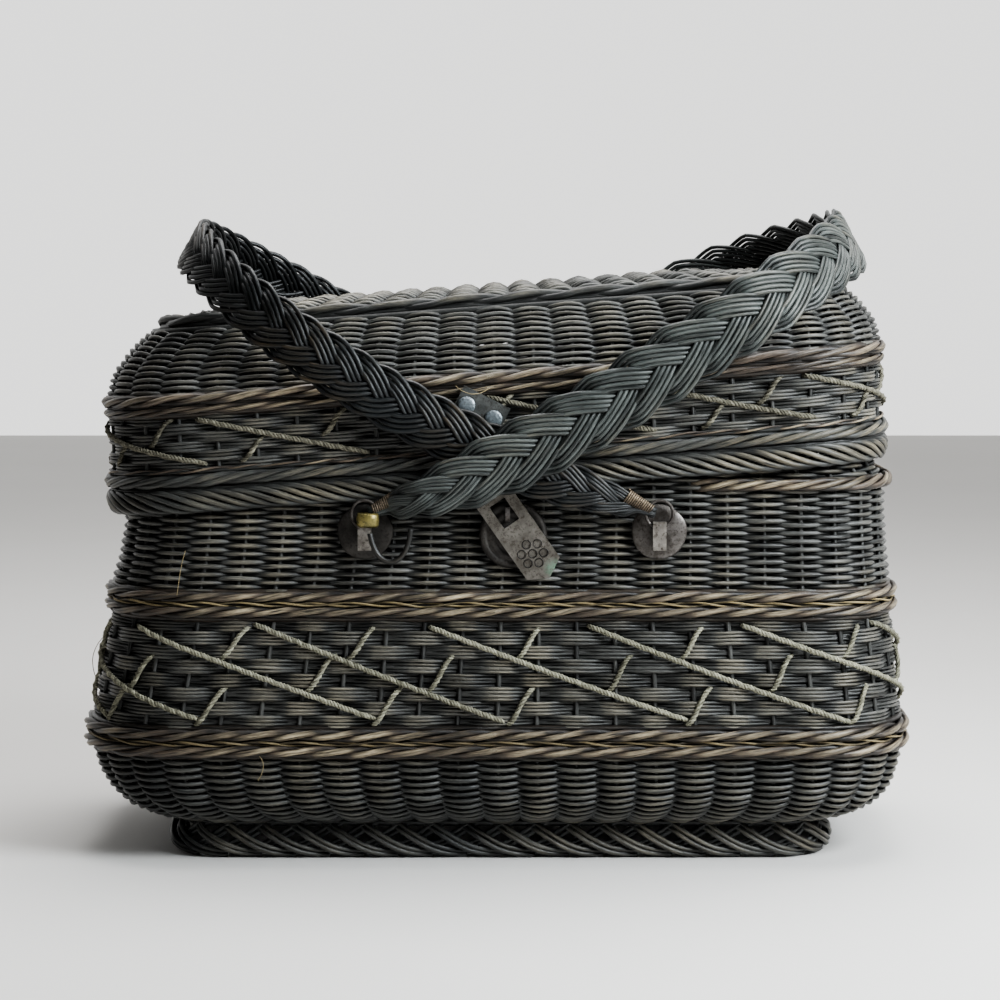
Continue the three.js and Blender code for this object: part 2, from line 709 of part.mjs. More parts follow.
const escutcheon = makeMesh('escutcheon', ridges, 'iron');
escutcheon.position.set(ESCUTCHEON.x, 0, ESCUTCHEON.z);
basket.add(escutcheon);
basket.add(makeTongue());
basket.add(makeEye());
basket.add(makeLeaf());
basket.add(makeHinge());

export default basket;
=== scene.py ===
# Looks of the lidded cane basket: every strand of the weave, the plaits, the twine and the old fittings.
# Lengths are in millimetres until a mesh is made; Blender's objects are in metres.

import math
from collections import namedtuple

import bpy
import numpy as np
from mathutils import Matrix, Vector


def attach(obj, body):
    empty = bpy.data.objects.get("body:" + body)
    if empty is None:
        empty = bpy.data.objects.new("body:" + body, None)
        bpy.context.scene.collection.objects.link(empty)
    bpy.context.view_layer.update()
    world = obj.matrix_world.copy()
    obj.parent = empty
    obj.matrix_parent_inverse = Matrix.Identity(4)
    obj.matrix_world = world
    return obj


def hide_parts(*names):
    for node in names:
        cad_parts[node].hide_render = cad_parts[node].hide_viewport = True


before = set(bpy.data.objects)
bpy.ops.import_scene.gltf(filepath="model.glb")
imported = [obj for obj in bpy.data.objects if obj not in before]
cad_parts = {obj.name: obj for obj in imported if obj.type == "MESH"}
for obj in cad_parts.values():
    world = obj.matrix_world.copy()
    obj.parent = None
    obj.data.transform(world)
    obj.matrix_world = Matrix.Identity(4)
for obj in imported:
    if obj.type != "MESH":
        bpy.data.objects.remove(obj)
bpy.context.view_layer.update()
scene = bpy.context.scene

MM = 0.001
TURN = 2 * math.pi
TINY = 1e-9
SEED = 919
rng = np.random.default_rng(SEED)

# Shapes of the walls, as rounded rectangles from the bottom up
Section = namedtuple("Section", "z half_width half_depth corner shift")
BODY_SECTIONS = [
    (16.5, 151.5, 68, 26, 2.6),
    (18.7, 162, 75.5, 32, 2.6),
    (22.7, 170.5, 81, 36, 2.4),
    (29, 178, 85.5, 40, 2),
    (38.4, 183.3, 88, 43, 1),
    (48.8, 186, 89, 45, 0.3),
    (56, 186.6, 89, 45, 0),
    (63.2, 186, 88.8, 45, 0.2),
    (87.2, 183, 87, 45, 1.2),
    (111, 179.7, 84.5, 45, 2),
    (117.3, 178.8, 83, 45, 2),
    (125, 179.4, 81.3, 45, 2),
    (133, 177.2, 79.6, 44, 3),
    (155, 174.8, 76.1, 43, 4.1),
    (166, 174.6, 75.7, 43, 4.2),
    (173.6, 174.6, 75.5, 43, 4.2),
    (176.5, 168.5, 75.5, 40, 4.2),
    (184, 168.5, 75.5, 40, 4.2),
]
BODY_REFERENCE = 8
FLOOR_SECTIONS = [
    (16.9, 85, 1.2, 1, 2.6),
    (16.7, 106, 23, 12, 2.6),
    (16.5, 151.5, 68, 26, 2.6),
]
LID_SECTIONS = [
    (167.5, 175.6, 79.8, 45, 0.9),
    (177, 177.5, 79.8, 46, -0.2),
    (186.6, 177.5, 79.8, 46, -0.4),
    (212, 177.5, 79.8, 46, -1),
    (216.7, 177.5, 79.4, 46, -1.4),
    (221.4, 177.5, 77.5, 46, -1.4),
    (231, 176, 71, 44, -1.4),
    (241.5, 168.5, 61.5, 42, -1.4),
    (249, 161, 52, 40, -1.4),
    (252.5, 154, 46, 38, -1.4),
    (255.5, 143, 38, 32, -1.4),
    (258, 122, 24, 20, -1.4),
    (258.4, 97, 0.8, 0.6, -1.4),
]
FOOT_SECTIONS = [
    (0, 150.8, 70, 26, 2),
    (4.5, 152.8, 72, 28, 2),
    (19.5, 149, 68.2, 24.2, 2),
]
LID_SLOPE = 0.073
PROFILE_STEP = 0.5
PROFILE_SOFTNESS = 9
WALL_END = 1

# Heights where the weave changes; the lowest weave starts at a distance up the wall
LOWER_WEAVE_START = 0.5
LOWER_WEAVE_HIGH = 49.8
BODY_BAND = (62.2, 112)
UPPER_WEAVE_LOW = 122.6
LID_BAND = (187, 212.3)
LID_TWINE = (188.5, 211)
LID_DOME = (220.4, 249.5)
LID_PANEL_LOW = 254.6

# Strands
BODY_STAKES = 58
LID_STAKES = 54
POINTS_PER_STAKE = 5
GROUP_POINTS = 4
CORE_POINTS = 2
CANE_RADIUS = 1.1
GROUP_RADIUS = 0.8
STAKE_RADIUS = 1.15
FOOT_RADIUS = 1.18
FLATNESS = 0.65
CANE_SIDES = 5
CORE_SIDES = 4
ROD_SIDES = 6
CANE_SPREAD = (0.9, 1.08)
GROUP_SPREAD = (0.86, 1.06)
GROUP_TINT = 0.3
GROUP_CREST = 0.2
GROUP_LEAST_CREST = 0.1
GROUP_SINK = 1.8
CREST_SINK = 2.2
STAKE_STEP = 2.5
# The stakes' low crest gives them some painted shade.
STAKE_CREST = 0.25
STAKE_ROOM = 13
SWING_LIMITS = (0.2, 1.05)

# Weaves: distance between rows, swing in and out, hang in front and depth of the middle
Randing = namedtuple("Randing", "pitch amplitude smile sunk")
LOWER_RANDING = Randing(1.65, 2.2, 0.4, CREST_SINK)
UPPER_RANDING = Randing(1.83, 1.7, 0.1, CREST_SINK)
DOME_RANDING = Randing(1.75, 1.8, 0.1, CREST_SINK)
PANEL_RANDING = Randing(1.9, 3.1, 0, 2.4)
Groups = namedtuple("Groups", "rows members amplitude")
BODY_GROUPS = Groups(8, 4, 1.45)
LID_GROUPS = Groups(6, 3, 1.4)

# Rods inside the walls, behind the strands that show
Core = namedtuple("Core", "heights sunk radius")
# The core rods' crest is so low that they take the full painted shade.
CORE_CREST = 0.05
RANDING_CORE_GAP = 1.5
RANDING_CORE_RADIUS = 1.7
RANDING_CORE_EVERY = 3
GROUP_CORE_SINK = 3.9
GROUP_CORE_RADIUS = 1.6
LOWER_WALE_CORE = Core((49.6, 56, 62.6), 0.9, 1.5)
UPPER_WALE_CORE = Core((111.4, 117.3, 123), 0.9, 1.5)
LID_BORDER_CORE = Core((178.6, 186.4), 0.8, 1.5)
LID_WALE_CORE = Core((212, 216, 221), 0.9, 1.5)
LID_RIDGE_CORE = Core((249.8, 251.6, 253.6, 255), 1.0, 1.6)
FOOT_CORE = Core((16.4,), 2.5, 1.7)

# Twisted rods: hand 1 rises to the right in front; points are counted for each turn
Rope = namedtuple("Rope", "z turns rods rise depth radius proud hand points roam", defaults=(18, 0.15))
LOWER_WALE = [
    Rope(52.4, 20, 3, 1.5, 1.5, 1.5, 1.0, 1),
    Rope(59.6, 20, 3, 1.5, 1.5, 1.5, 1.0, 1),
]
UPPER_WALE = [
    Rope(114, 20, 3, 1.4, 1.4, 1.38, 0.8, 1),
    Rope(120.6, 20, 3, 1.4, 1.4, 1.38, 0.8, 1),
]
RIM_WALE = [Rope(170.5, 20, 4, 1.8, 1.5, 1.35, 1.5, 1)]
STRAW_ROWS = [
    Rope(56, 29, 2, 0.8, 0.5, 0.52, 1.7, -1, 15, 0.75),
    Rope(117.3, 29, 2, 0.8, 0.5, 0.5, 1.6, -1, 15, 0.75),
]
LID_BORDER = [
    Rope(182.6, 18, 4, 1.8, 1.4, 1.4, 0.3, 1),
    Rope(173.4, 16, 7, 4.2, 1.3, 1.35, 0.4, -1),
]
LID_WALE = [
    Rope(218.6, 18, 3, 1.5, 1.3, 1.5, 0.2, 1),
    Rope(213.7, 18, 3, 1.0, 0.9, 1.0, 0.1, 1),
]
LID_RIDGE = [Rope(252.4, 14, 2, 1.5, 1.5, 1.9, 0.6, 1, 24)]
LID_STRAW = [Rope(187, 27, 2, 0.7, 0.5, 0.52, 0.1, 1, 15, 0.6)]
RIM_START = 0.086
RIM_SPAN = (RIM_START, 0.5 - RIM_START)
END_DIVE = 6
END_REACH = 9

# Wandering of strands, as waves round a ring
Wander = namedtuple("Wander", "slowest fastest size")
WAVES = 5
ROW_WANDER = Wander(4, 60, 0.12)
SWING_WANDER = Wander(5, 70, 0.1)
MEMBER_WANDER = Wander(5, 50, 0.1)
GROUP_WANDER = Wander(4, 30, 0.14)
LIFT_WANDER = Wander(6, 60, 0.08)
ROD_WANDER = Wander(4, 40, 0.22)
ROD_ROAM = Wander(6, 60, 1)
ROD_SIZE_WANDER = Wander(5, 40, 0.06)
TWINE_WANDER = Wander(1, 5, 0.2)
PLAIT_WANDER = Wander(3, 40, 0.12)

# Handles, as loops that hang from rings on one half of the basket
Sag = namedtuple("Sag", "depth fall")
Handle = namedtuple("Handle", [
    "name", "body", "rings", "pivot_x", "heading", "length", "end_length", "half_span", "width",
    "front_sag", "back_sag", "pitch", "strand", "members", "hand", "straight",
])
HANDLES = [
    Handle(
        name="handle_right", body="right_handle", rings="left", pivot_x=-58.5, heading=28.72,
        length=255, end_length=76, half_span=96.5, width=32, front_sag=Sag(9.2, 2), back_sag=Sag(-14, 1),
        pitch=19.5, strand=2.06, members=5, hand=1, straight=0.5,
    ),
    Handle(
        name="handle_left", body="left_handle", rings="right", pivot_x=72.4, heading=150.79,
        length=246.3, end_length=98, half_span=89, width=26.5, front_sag=Sag(14.2, 1), back_sag=Sag(0, 1),
        pitch=14, strand=2.28, members=4, hand=-1, straight=0.1,
    ),
]
SIDES = {"front": -1, "back": 1}
RING = {"z": 158.2, "out": 85, "radius": 6, "wire": 0.75, "points": 40, "sides": 10, "dent": 0.02}
Growth = namedtuple("Growth", "along width spread")
STRAP_GROWTH = [
    Growth(1.8, 0.16, 0),
    Growth(10.5, 0.18, 0.03),
    Growth(15, 0.45, 0.3),
    Growth(27, 0.62, 0.92),
    Growth(45, 0.84, 1),
    Growth(70, 1, 1),
]
STRAP_END_POINTS = 60
PLAIT_BUNDLES = 5
PLAIT_LIFT = 1.55
PLAIT_STEP = 2.2
PLAIT_SNAP = 2.2
NARROW_LIFT = 0.35
NARROW_STRAND = 0.45
MEMBER_PACKING = 0.985
BUNDLE_ROUNDING = 0.25
STRAP_SPREAD = (0.93, 1.05)
STRAP_CREST = 0.25
EDGE_WEAR = 0.45
EDGE_POWER = 4
RIM_MEMBER = 0.9
BINDING = {
    "points": 150, "turns": 6.5, "start": 4, "length": 13, "radius": 1.9, "growth": 1.2, "lean": 1.5,
    "flatness": 0.8, "wire": 0.42, "phases": (0, 0.5),
}
METAL_CREST = 0.5


# Strand meshes

class Strands:
    """Collects tubes as arrays, with where each point lies on its strand, a tint and how proud it stands."""

    SEED_RANGE = 5000

    def __init__(self):
        self.points = []
        self.quads = []
        self.caps = []
        self.place = []
        self.tint = []
        self.crest = []
        self.count = 0

    def add(self, paths, outward, radius, sides, closed, crest=0.0, tint=None, flatten=1.0):
        """Adds strands given as arrays of strands x points x 3, with the outward direction at each point."""
        strands, steps, _ = paths.shape
        if closed:
            along = np.roll(paths, -1, axis=1) - np.roll(paths, 1, axis=1)
        else:
            along = np.gradient(paths, axis=1)
        along = unit(along)
        up = unit(outward - along * np.sum(outward * along, axis=2, keepdims=True))
        across = np.cross(along, up)
        size = np.broadcast_to(np.asarray(radius, float), (strands, steps))[..., None, None]
        angle = TURN * np.arange(sides) / sides
        ring_up = (np.cos(angle) * flatten)[None, None, :, None] * up[:, :, None, :]
        ring_across = np.sin(angle)[None, None, :, None] * across[:, :, None, :]
        rings = paths[:, :, None, :] + size * (ring_up + ring_across)
        index = self.count + np.arange(strands * steps * sides).reshape(strands, steps, sides)
        ahead = np.roll(index, -1, axis=1) if closed else index[:, 1:]
        here = index if closed else index[:, :-1]
        beside = np.roll(here, -1, axis=2)
        ahead_beside = np.roll(ahead, -1, axis=2)
        self.quads.append(np.stack([here, beside, ahead_beside, ahead], axis=-1).reshape(-1, 4))
        if not closed:
            self.caps.append(np.concatenate([index[:, 0, ::-1], index[:, -1, :]]))
        lengths = np.linalg.norm(np.diff(paths, axis=1, prepend=paths[:, :1]), axis=2).cumsum(axis=1)
        seeds = rng.uniform(0, self.SEED_RANGE, (strands, 1))
        place = np.empty(rings.shape)
        place[..., 0] = (lengths + seeds)[..., None]
        place[..., 1] = np.cos(angle)
        place[..., 2] = np.sin(angle)
        tint = rng.random(strands) if tint is None else np.broadcast_to(tint, (strands,))
        crest = np.broadcast_to(crest, (strands, steps))
        # The crest falls off round each strand away from its outward side; its high values feed the worn
        # crests and its low values feed the painted shade.
        facing = (0.5 + 0.5 * np.cos(angle))[None, None, :]
        self.points.append(rings.reshape(-1, 3))
        self.place.append(place.reshape(-1, 3))
        self.tint.append(np.broadcast_to(tint[:, None, None], rings.shape[:3]).ravel())
        self.crest.append((crest[..., None] * facing).ravel())
        self.count += strands * steps * sides

    def build(self, name, material, body="basket", replaced=()):
        """Makes the mesh object, sets it on its body and hides the solids that it stands for."""
        faces = [face for block in self.quads + self.caps for face in block.tolist()]
        mesh = bpy.data.meshes.new(name)
        mesh.from_pydata((np.concatenate(self.points) * MM).tolist(), [], faces)
        mesh.validate()
        mesh.shade_smooth()
        place = mesh.attributes.new("place", "FLOAT_VECTOR", "POINT")
        place.data.foreach_set("vector", np.concatenate(self.place).ravel())
        tint = mesh.attributes.new("tint", "FLOAT", "POINT")
        tint.data.foreach_set("value", np.concatenate(self.tint))
        crest = mesh.attributes.new("crest", "FLOAT", "POINT")
        crest.data.foreach_set("value", np.concatenate(self.crest))
        place_piece(name, mesh, material, body, replaced)


def place_piece(name, mesh, material, body, replaced=()):
    piece = bpy.data.objects.new(name, mesh)
    scene.collection.objects.link(piece)
    mesh.materials.append(material)
    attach(piece, body)
    if replaced:
        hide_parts(*replaced)


def unit(vectors):
    return vectors / np.maximum(np.linalg.norm(vectors, axis=-1, keepdims=True), TINY)


def waver(strands, share, wander):
    """Smooth random wandering round a closed ring, different on each strand."""
    total = np.zeros((strands, share.shape[-1]))
    for _ in range(WAVES):
        beat = rng.integers(wander.slowest, wander.fastest, (strands, 1))
        phase = rng.random((strands, 1))
        total += np.sin(TURN * (beat * share + phase))
    return wander.size * total / math.sqrt(WAVES)


def smooth(value, low, high):
    """Rises gently from 0 at low to 1 at high."""
    share = np.clip((value - low) / (high - low), 0, 1)
    return share * share * (3 - 2 * share)


def soften(values, reach):
    """Rounds the corners of a column of values, and keeps its ends."""
    padded = np.pad(values, reach, mode="reflect", reflect_type="odd")
    kernel = np.ones(2 * reach + 1) / (2 * reach + 1)
    return np.convolve(padded, kernel, mode="valid")


# Walls

class Wall:
    """A wall followed round by share, from the middle of the front towards +X, and up by distance."""

    CENTRES = np.array([
        (0, -1), (1, -1), (1, -1), (1, 1), (1, 1), (-1, 1), (-1, 1), (-1, -1), (-1, -1), (0, -1),
    ])
    QUARTERS = np.array([0, 0, 1, 1, 2, 2, 3, 3, 4])

    def __init__(self, sections, reference=0, leans=False):
        rows = np.array(sections, float)
        distance = np.concatenate([[0], np.hypot(np.diff(rows[:, 2]), np.diff(rows[:, 0])).cumsum()])
        self.leans = leans
        self.length = distance[-1]
        self.ups = np.arange(0, self.length + PROFILE_STEP, PROFILE_STEP)
        self.columns = [soften(np.interp(self.ups, distance, column), PROFILE_SOFTNESS) for column in rows.T]
        plan = Section(*sections[reference])
        flat_x = plan.half_width - plan.corner
        flat_y = 2 * (plan.half_depth - plan.corner)
        arc = plan.corner * TURN / 4
        spans = [flat_x, arc, flat_y, arc, 2 * flat_x, arc, flat_y, arc, flat_x]
        self.round = sum(spans)
        self.breaks = np.concatenate([[0], np.cumsum(spans)]) / self.round

    def up_at(self, z):
        return float(np.interp(z, self.columns[0], self.ups))

    def point(self, share, up):
        """The point on the wall and the way it faces in plan."""
        share = share % 1.0
        z, width, depth, corner, shift = (np.interp(up, self.ups, column) for column in self.columns)
        segment = np.searchsorted(self.breaks, share, side="right") - 1
        segment = np.clip(segment, 0, len(self.QUARTERS) - 1)
        part = (share - self.breaks[segment]) / (self.breaks[segment + 1] - self.breaks[segment])
        turned = self.QUARTERS[segment] + np.where(segment % 2 == 1, part, 0)
        angle = (turned - 1) * TURN / 4
        facing = np.stack([np.cos(angle), np.sin(angle), np.zeros_like(angle)], axis=-1)
        start, end = self.CENTRES[segment], self.CENTRES[segment + 1]
        centre = start + (end - start) * part[..., None]
        x = shift + centre[..., 0] * (width - corner) + corner * facing[..., 0]
        y = centre[..., 1] * (depth - corner) + corner * facing[..., 1]
        if self.leans:
            z = z + x * LID_SLOPE
        return np.stack([x, y, z], axis=-1), facing

    def at(self, share, up):
        """The point on the wall and its outward direction."""
        share, up = np.broadcast_arrays(np.asarray(share, float), np.asarray(up, float))
        here, facing = self.point(share, up)
        above, _ = self.point(share, np.minimum(up + 1, self.length))
        below, _ = self.point(share, np.maximum(up - 1, 0))
        rise = unit(above - below)
        lift = np.sum(rise * facing, axis=-1, keepdims=True)
        outward = facing * rise[..., 2:3] - np.array([0, 0, 1.0]) * lift
        return here, unit(outward)


# Weaves

def ring_shares(parts, per_part):
    return np.arange(parts * per_part) / (parts * per_part)


def randing(strands, wall, stakes, low, high, weave):
    """Single strands that pass in front of one stake and behind the next, and hang lower in front."""
    rows = int(round((high - low) / weave.pitch))
    share = ring_shares(stakes, POINTS_PER_STAKE)
    ups = low + (np.arange(rows) + 0.5) * (high - low) / rows
    wave = np.cos(math.pi * (stakes * share[None, :] + np.arange(rows)[:, None]))
    wave = np.sign(wave) * np.abs(wave) ** FLATNESS
    up = ups[:, None] + waver(rows, share, ROW_WANDER) - weave.smile * np.clip(wave, 0, 1)
    here, outward = wall.at(share[None, :], up)
    room = np.linalg.norm(np.roll(here, -POINTS_PER_STAKE, axis=1) - here, axis=2)
    swing = weave.amplitude * np.clip(room / STAKE_ROOM, *SWING_LIMITS)
    swing = swing * (1 + waver(rows, share, SWING_WANDER))
    paths = here + outward * (swing * wave - weave.sunk)[..., None]
    radius = CANE_RADIUS * rng.uniform(*CANE_SPREAD, (rows, 1))
    strands.add(paths, outward, radius, CANE_SIDES, True, crest=np.clip(wave, 0, 1))
    core_sink = weave.sunk + weave.amplitude + RANDING_CORE_GAP
    core_rods(strands, wall, ups[1::RANDING_CORE_EVERY], core_sink, RANDING_CORE_RADIUS)


def core_rods(strands, wall, ups, sunk, radius):
    """Rods that run round inside the wall and fill it behind the strands that show; their low crest paints
    them near black, as painted shade in the gaps.
    """
    share = ring_shares(BODY_STAKES, CORE_POINTS)
    here, outward = wall.at(share[None, :], np.array(ups)[:, None])
    strands.add(here - outward * sunk, outward, radius, CORE_SIDES, True, crest=CORE_CREST)


def grouped_weave(strands, wall, stakes, low, high, groups):
    """Groups of strands side by side that pass in front of one stake and behind the next."""
    rows, members, amplitude = groups
    share = ring_shares(stakes, GROUP_POINTS)
    pitch = (high - low) / rows
    for row in range(rows):
        middle = low + (row + 0.5) * pitch
        offsets = (np.arange(members) - (members - 1) / 2) * GROUP_RADIUS * 2
        wave = np.cos(math.pi * (stakes * share + row))
        wave = np.sign(wave) * np.abs(wave) ** FLATNESS
        up = middle + offsets[:, None] + waver(members, share, MEMBER_WANDER) + waver(1, share, GROUP_WANDER)
        here, outward = wall.at(share[None, :], up)
        lift = amplitude * wave[None, :] * (1 + waver(members, share, LIFT_WANDER)) - GROUP_SINK
        paths = here + outward * lift[..., None]
        radius = GROUP_RADIUS * rng.uniform(*GROUP_SPREAD, (members, 1))
        tint = np.clip(rng.random() + rng.normal(0, GROUP_TINT, members), 0, 1)
        # The parts behind the stakes get a low crest, so they take the painted shade.
        crest = np.clip(GROUP_CREST + (1 - GROUP_CREST) * wave, GROUP_LEAST_CREST, 1)
        strands.add(paths, outward, radius, CANE_SIDES, True, crest=crest, tint=tint)
    core_ups = low + pitch * np.arange(2 * rows + 1) / 2
    core_rods(strands, wall, core_ups, GROUP_CORE_SINK, GROUP_CORE_RADIUS)


def stakes_up(strands, wall, stakes, low, high):
    """The upright stakes that the strands are woven round."""
    share = np.arange(stakes)[:, None] / stakes
    steps = int((high - low) / STAKE_STEP)
    up = np.linspace(low, high, steps)[None, :]
    here, outward = wall.at(share, up)
    paths = here - outward * CREST_SINK
    strands.add(paths, outward, STAKE_RADIUS, CANE_SIDES, False, crest=STAKE_CREST)


def rope(strands, wall, twist, span=None):
    """Rods twisted round each other along the wall, like a wale. A span's ends dive into the wall."""
    share = ring_shares(twist.turns, twist.points)
    if span:
        share = np.linspace(*span, int(len(share) * (span[1] - span[0])))
    phase = np.arange(twist.rods)[:, None] / twist.rods
    spin = TURN * (twist.turns * share[None, :] + phase)
    up = wall.up_at(twist.z) - twist.hand * twist.rise * np.cos(spin) + waver(twist.rods, share, ROD_WANDER)
    here, outward = wall.at(share[None, :], up)
    roam = ROD_ROAM._replace(size=twist.roam)
    lift = twist.proud + twist.depth * np.sin(spin) + waver(twist.rods, share, roam)
    if span:
        end_gap = np.minimum(share - span[0], span[1] - share) * wall.round
        lift = lift - END_DIVE * np.exp(-end_gap / END_REACH)
    paths = here + outward * lift[..., None]
    size = twist.radius * (1 + waver(twist.rods, share, ROD_SIZE_WANDER))
    strands.add(paths, outward, size, ROD_SIDES, not span, crest=np.clip(np.sin(spin), 0, 1))


def rope_piece(name, wall, ropes, core, material, replaced=(), span=None):
    """A piece made of one or more ropes, with the rods that fill the wall behind them."""
    strands = Strands()
    for twist in ropes:
        rope(strands, wall, twist, span)
    if core:
        core_rods(strands, wall, [wall.up_at(z) for z in core.heights], core.sunk, core.radius)
    strands.build(name, material, "basket", replaced)


# Twine

TWINE_STEP = 1.4
TWINE_LEAST_STEPS = 10
TWINE_DIVE = 3.5
TWINE_DEPTH = 3.2
TWINE_LAY = 5.2
TWINE_PLIES = 3
PLY_OFFSET = 0.72
PLY_RADIUS = 0.78
PLY_SIDES = 4
Tick = namedtuple("Tick", "along low high")
TICK_WIDTH = 12.5
TICK_CURL = 0.6
TICK_SINK = 0.2
TICK_SPREAD = 0.03
START_SPREAD = 0.015
EDGE_GAP = (0.02, 0.07)
GREATEST_SAG = 0.8
Stitching = namedtuple("Stitching", "repeats reach proud start ticks shifts")
BODY_STITCHING = Stitching(
    repeats=15, reach=1.75, proud=1.2, start=0.0406,
    ticks=[Tick(0.64, 0.62, 0.93), Tick(1.22, 0.32, 0.67), Tick(1.72, 0.01, 0.37)],
    shifts={11: -0.3, 12: -0.16, 13: -0.28, 14: -0.06},
)
LID_STITCHING = Stitching(
    repeats=13, reach=1.05, proud=1.0, start=0.0151,
    ticks=[Tick(0.3, 0.03, 0.54), Tick(0.74, 0.43, 0.97)],
    shifts={0: -0.23, 1: -0.3, 2: -0.3},
)


def twine_stitch(strands, wall, start, end, proud, sag=0.0, curl=0.0):
    """A stitch of twine that dives into the weave at both ends. Ends are share and distance up."""
    span = np.hypot((end[0] - start[0]) * wall.round, end[1] - start[1])
    steps = max(TWINE_LEAST_STEPS, int(span / TWINE_STEP))
    t = np.linspace(0, 1, steps)
    share = start[0] + (end[0] - start[0]) * t
    climb = t - curl * np.sin(TURN * t) / TURN
    up = start[1] + (end[1] - start[1]) * climb - sag * np.sin(math.pi * t)
    here, outward = wall.at(share, up)
    dive = TWINE_DIVE / span
    lift = proud - TWINE_DEPTH * (np.exp(-t / dive) + np.exp(-(1 - t) / dive))
    lift = lift + waver(1, t[None, :], TWINE_WANDER)[0]
    middle = here + outward * lift[:, None]
    along = unit(np.gradient(middle, axis=0))
    across = np.cross(along, outward)
    spin = TURN * (t * span / TWINE_LAY)[None, :] + TURN * np.arange(TWINE_PLIES)[:, None] / TWINE_PLIES
    swing = np.cos(spin)[..., None] * outward[None] + np.sin(spin)[..., None] * across[None]
    paths = middle[None] + PLY_OFFSET * swing
    strands.add(paths, swing, PLY_RADIUS, PLY_SIDES, False, crest=1.0)


def twine_pattern(strands, wall, low, high, stitching):
    """Long slanting stitches with short ones between them, repeated all the way round."""
    step = 1 / stitching.repeats
    height = high - low
    for i in range(stitching.repeats):
        share = stitching.start + step * (i + stitching.shifts.get(i, 0) + rng.normal(0, START_SPREAD))
        top = high - rng.uniform(*EDGE_GAP) * height
        bottom = low + rng.uniform(*EDGE_GAP) * height
        end = (share + stitching.reach * step, bottom)
        twine_stitch(strands, wall, (share, top), end, stitching.proud, rng.uniform(0, GREATEST_SAG))
        for tick in stitching.ticks:
            left = share + step * (tick.along + rng.normal(0, TICK_SPREAD))
            right = left + TICK_WIDTH / wall.round
            ends = (left, low + tick.low * height), (right, low + tick.high * height)
            twine_stitch(strands, wall, *ends, stitching.proud - TICK_SINK, curl=TICK_CURL)


# Foot plait: pairs of rods, with their starts and reaches counted in steps of the plait

FOOT_PAIRS = 54
FOOT_POINTS = 15
FOOT_SINK = 1.6
FOOT_SPREAD_UP = 0.12
FOOT_SPREAD_OUT = 0.15
FOOT_CREST = 0.6
FOOT_CREST_GAIN = 0.3
FOOT_LEAST_CREST = 0.3
PAIR_GAP = 0.6
Slant = namedtuple("Slant", "start reach low height spread")
RISING = Slant(-0.1, 1.5, 3.5, 14.5, 1.0)
RISING_OUT = -0.7
FALLING = Slant(-0.2, 2.2, 1.6, 15.5, 1.1)
FALLING_BEND = 1.8
FALLING_OUT = -1.2
Stretch = namedtuple("Stretch", "height low high")
COMES_OUT = Stretch(2.8, 0.02, 0.22)
GOES_UNDER = Stretch(2.2, 0.5, 1.0)


def foot_plait(strands, wall):
    """Pairs of rods that slant down and run out along the floor, over pairs that slant up to the body."""
    t = np.linspace(0, 1, FOOT_POINTS)
    step = wall.round / FOOT_PAIRS
    for member in (-1, 1):
        along = step * (RISING.start + RISING.reach * t) - member * PAIR_GAP
        z = RISING.low + RISING.height * t + member * RISING.spread
        add_foot_strands(strands, wall, along, z, np.full_like(t, RISING_OUT))
        along = step * (FALLING.start + FALLING.reach * t) + member * PAIR_GAP * (1 - t)
        z = FALLING.low + FALLING.height * (1 - t) ** FALLING_BEND + member * FALLING.spread
        out = FALLING_OUT + COMES_OUT.height * smooth(t, COMES_OUT.low, COMES_OUT.high)
        out = out - GOES_UNDER.height * smooth(t, GOES_UNDER.low, GOES_UNDER.high)
        add_foot_strands(strands, wall, along, z, out)


def add_foot_strands(strands, wall, along, z, out):
    """One rod of each pair, repeated round the foot; none goes below the floor."""
    starts = np.arange(FOOT_PAIRS)[:, None] / FOOT_PAIRS
    share = starts + (along / wall.round)[None, :]
    up = np.interp(z, wall.columns[0], wall.ups)[None, :] + rng.normal(0, FOOT_SPREAD_UP, starts.shape)
    here, outward = wall.at(share, up)
    lift = out[None, :] - FOOT_SINK + rng.normal(0, FOOT_SPREAD_OUT, starts.shape)
    paths = here + outward * lift[..., None]
    paths[..., 2] = np.maximum(paths[..., 2], FOOT_RADIUS)
    crest = np.clip(FOOT_CREST + FOOT_CREST_GAIN * out, FOOT_LEAST_CREST, 1)[None, :]
    strands.add(paths, outward, FOOT_RADIUS, CANE_SIDES, False, crest=crest)


# Plaited handles

def handle_line(handle):
    """The strap's middle line in its own frame, with its lengths, directions and share of the width."""
    turn_start = handle.length - handle.end_length
    leg = np.arange(STRAP_GROWTH[0].along, turn_start, PLAIT_STEP)
    grown_along, grown_width, grown_spread = np.array(STRAP_GROWTH).T
    spread = np.interp(leg, grown_along, grown_spread)
    leg_out = RING["out"] + (handle.half_span - RING["out"]) * spread
    angle = np.linspace(0, TURN / 4, STRAP_END_POINTS)[1:]
    along = np.concatenate([leg, turn_start + handle.end_length * np.sin(angle)])
    out = np.concatenate([leg_out, handle.half_span * np.cos(angle)])
    along = np.concatenate([along, along[-2::-1]])
    side = np.concatenate([-out, out[-2::-1]])
    lengths = np.concatenate([[0], np.hypot(np.diff(along), np.diff(side)).cumsum()])
    even = np.linspace(0, lengths[-1], int(lengths[-1] / PLAIT_STEP))
    along, side = np.interp(even, lengths, along), np.interp(even, lengths, side)
    share = along / handle.length
    up = math.copysign(1, math.cos(math.radians(handle.heading)))
    sag = up * np.where(side < 0, sag_at(handle.front_sag, share), sag_at(handle.back_sag, share))
    line = np.stack([along, side, sag], axis=-1)
    tangent = unit(np.gradient(line, axis=0))
    outward = unit(np.cross(tangent, np.array([0, 0, 1.0])))
    width = np.interp(along, grown_along, grown_width)
    return even, line, tangent, outward, width


def sag_at(sag, share):
    """A strap's sag: it grows from the rings to its greatest depth and falls off to the far end."""
    peak = sag.fall ** sag.fall / (sag.fall + 1) ** (sag.fall + 1)
    return -sag.depth * share * (1 - share) ** sag.fall / peak


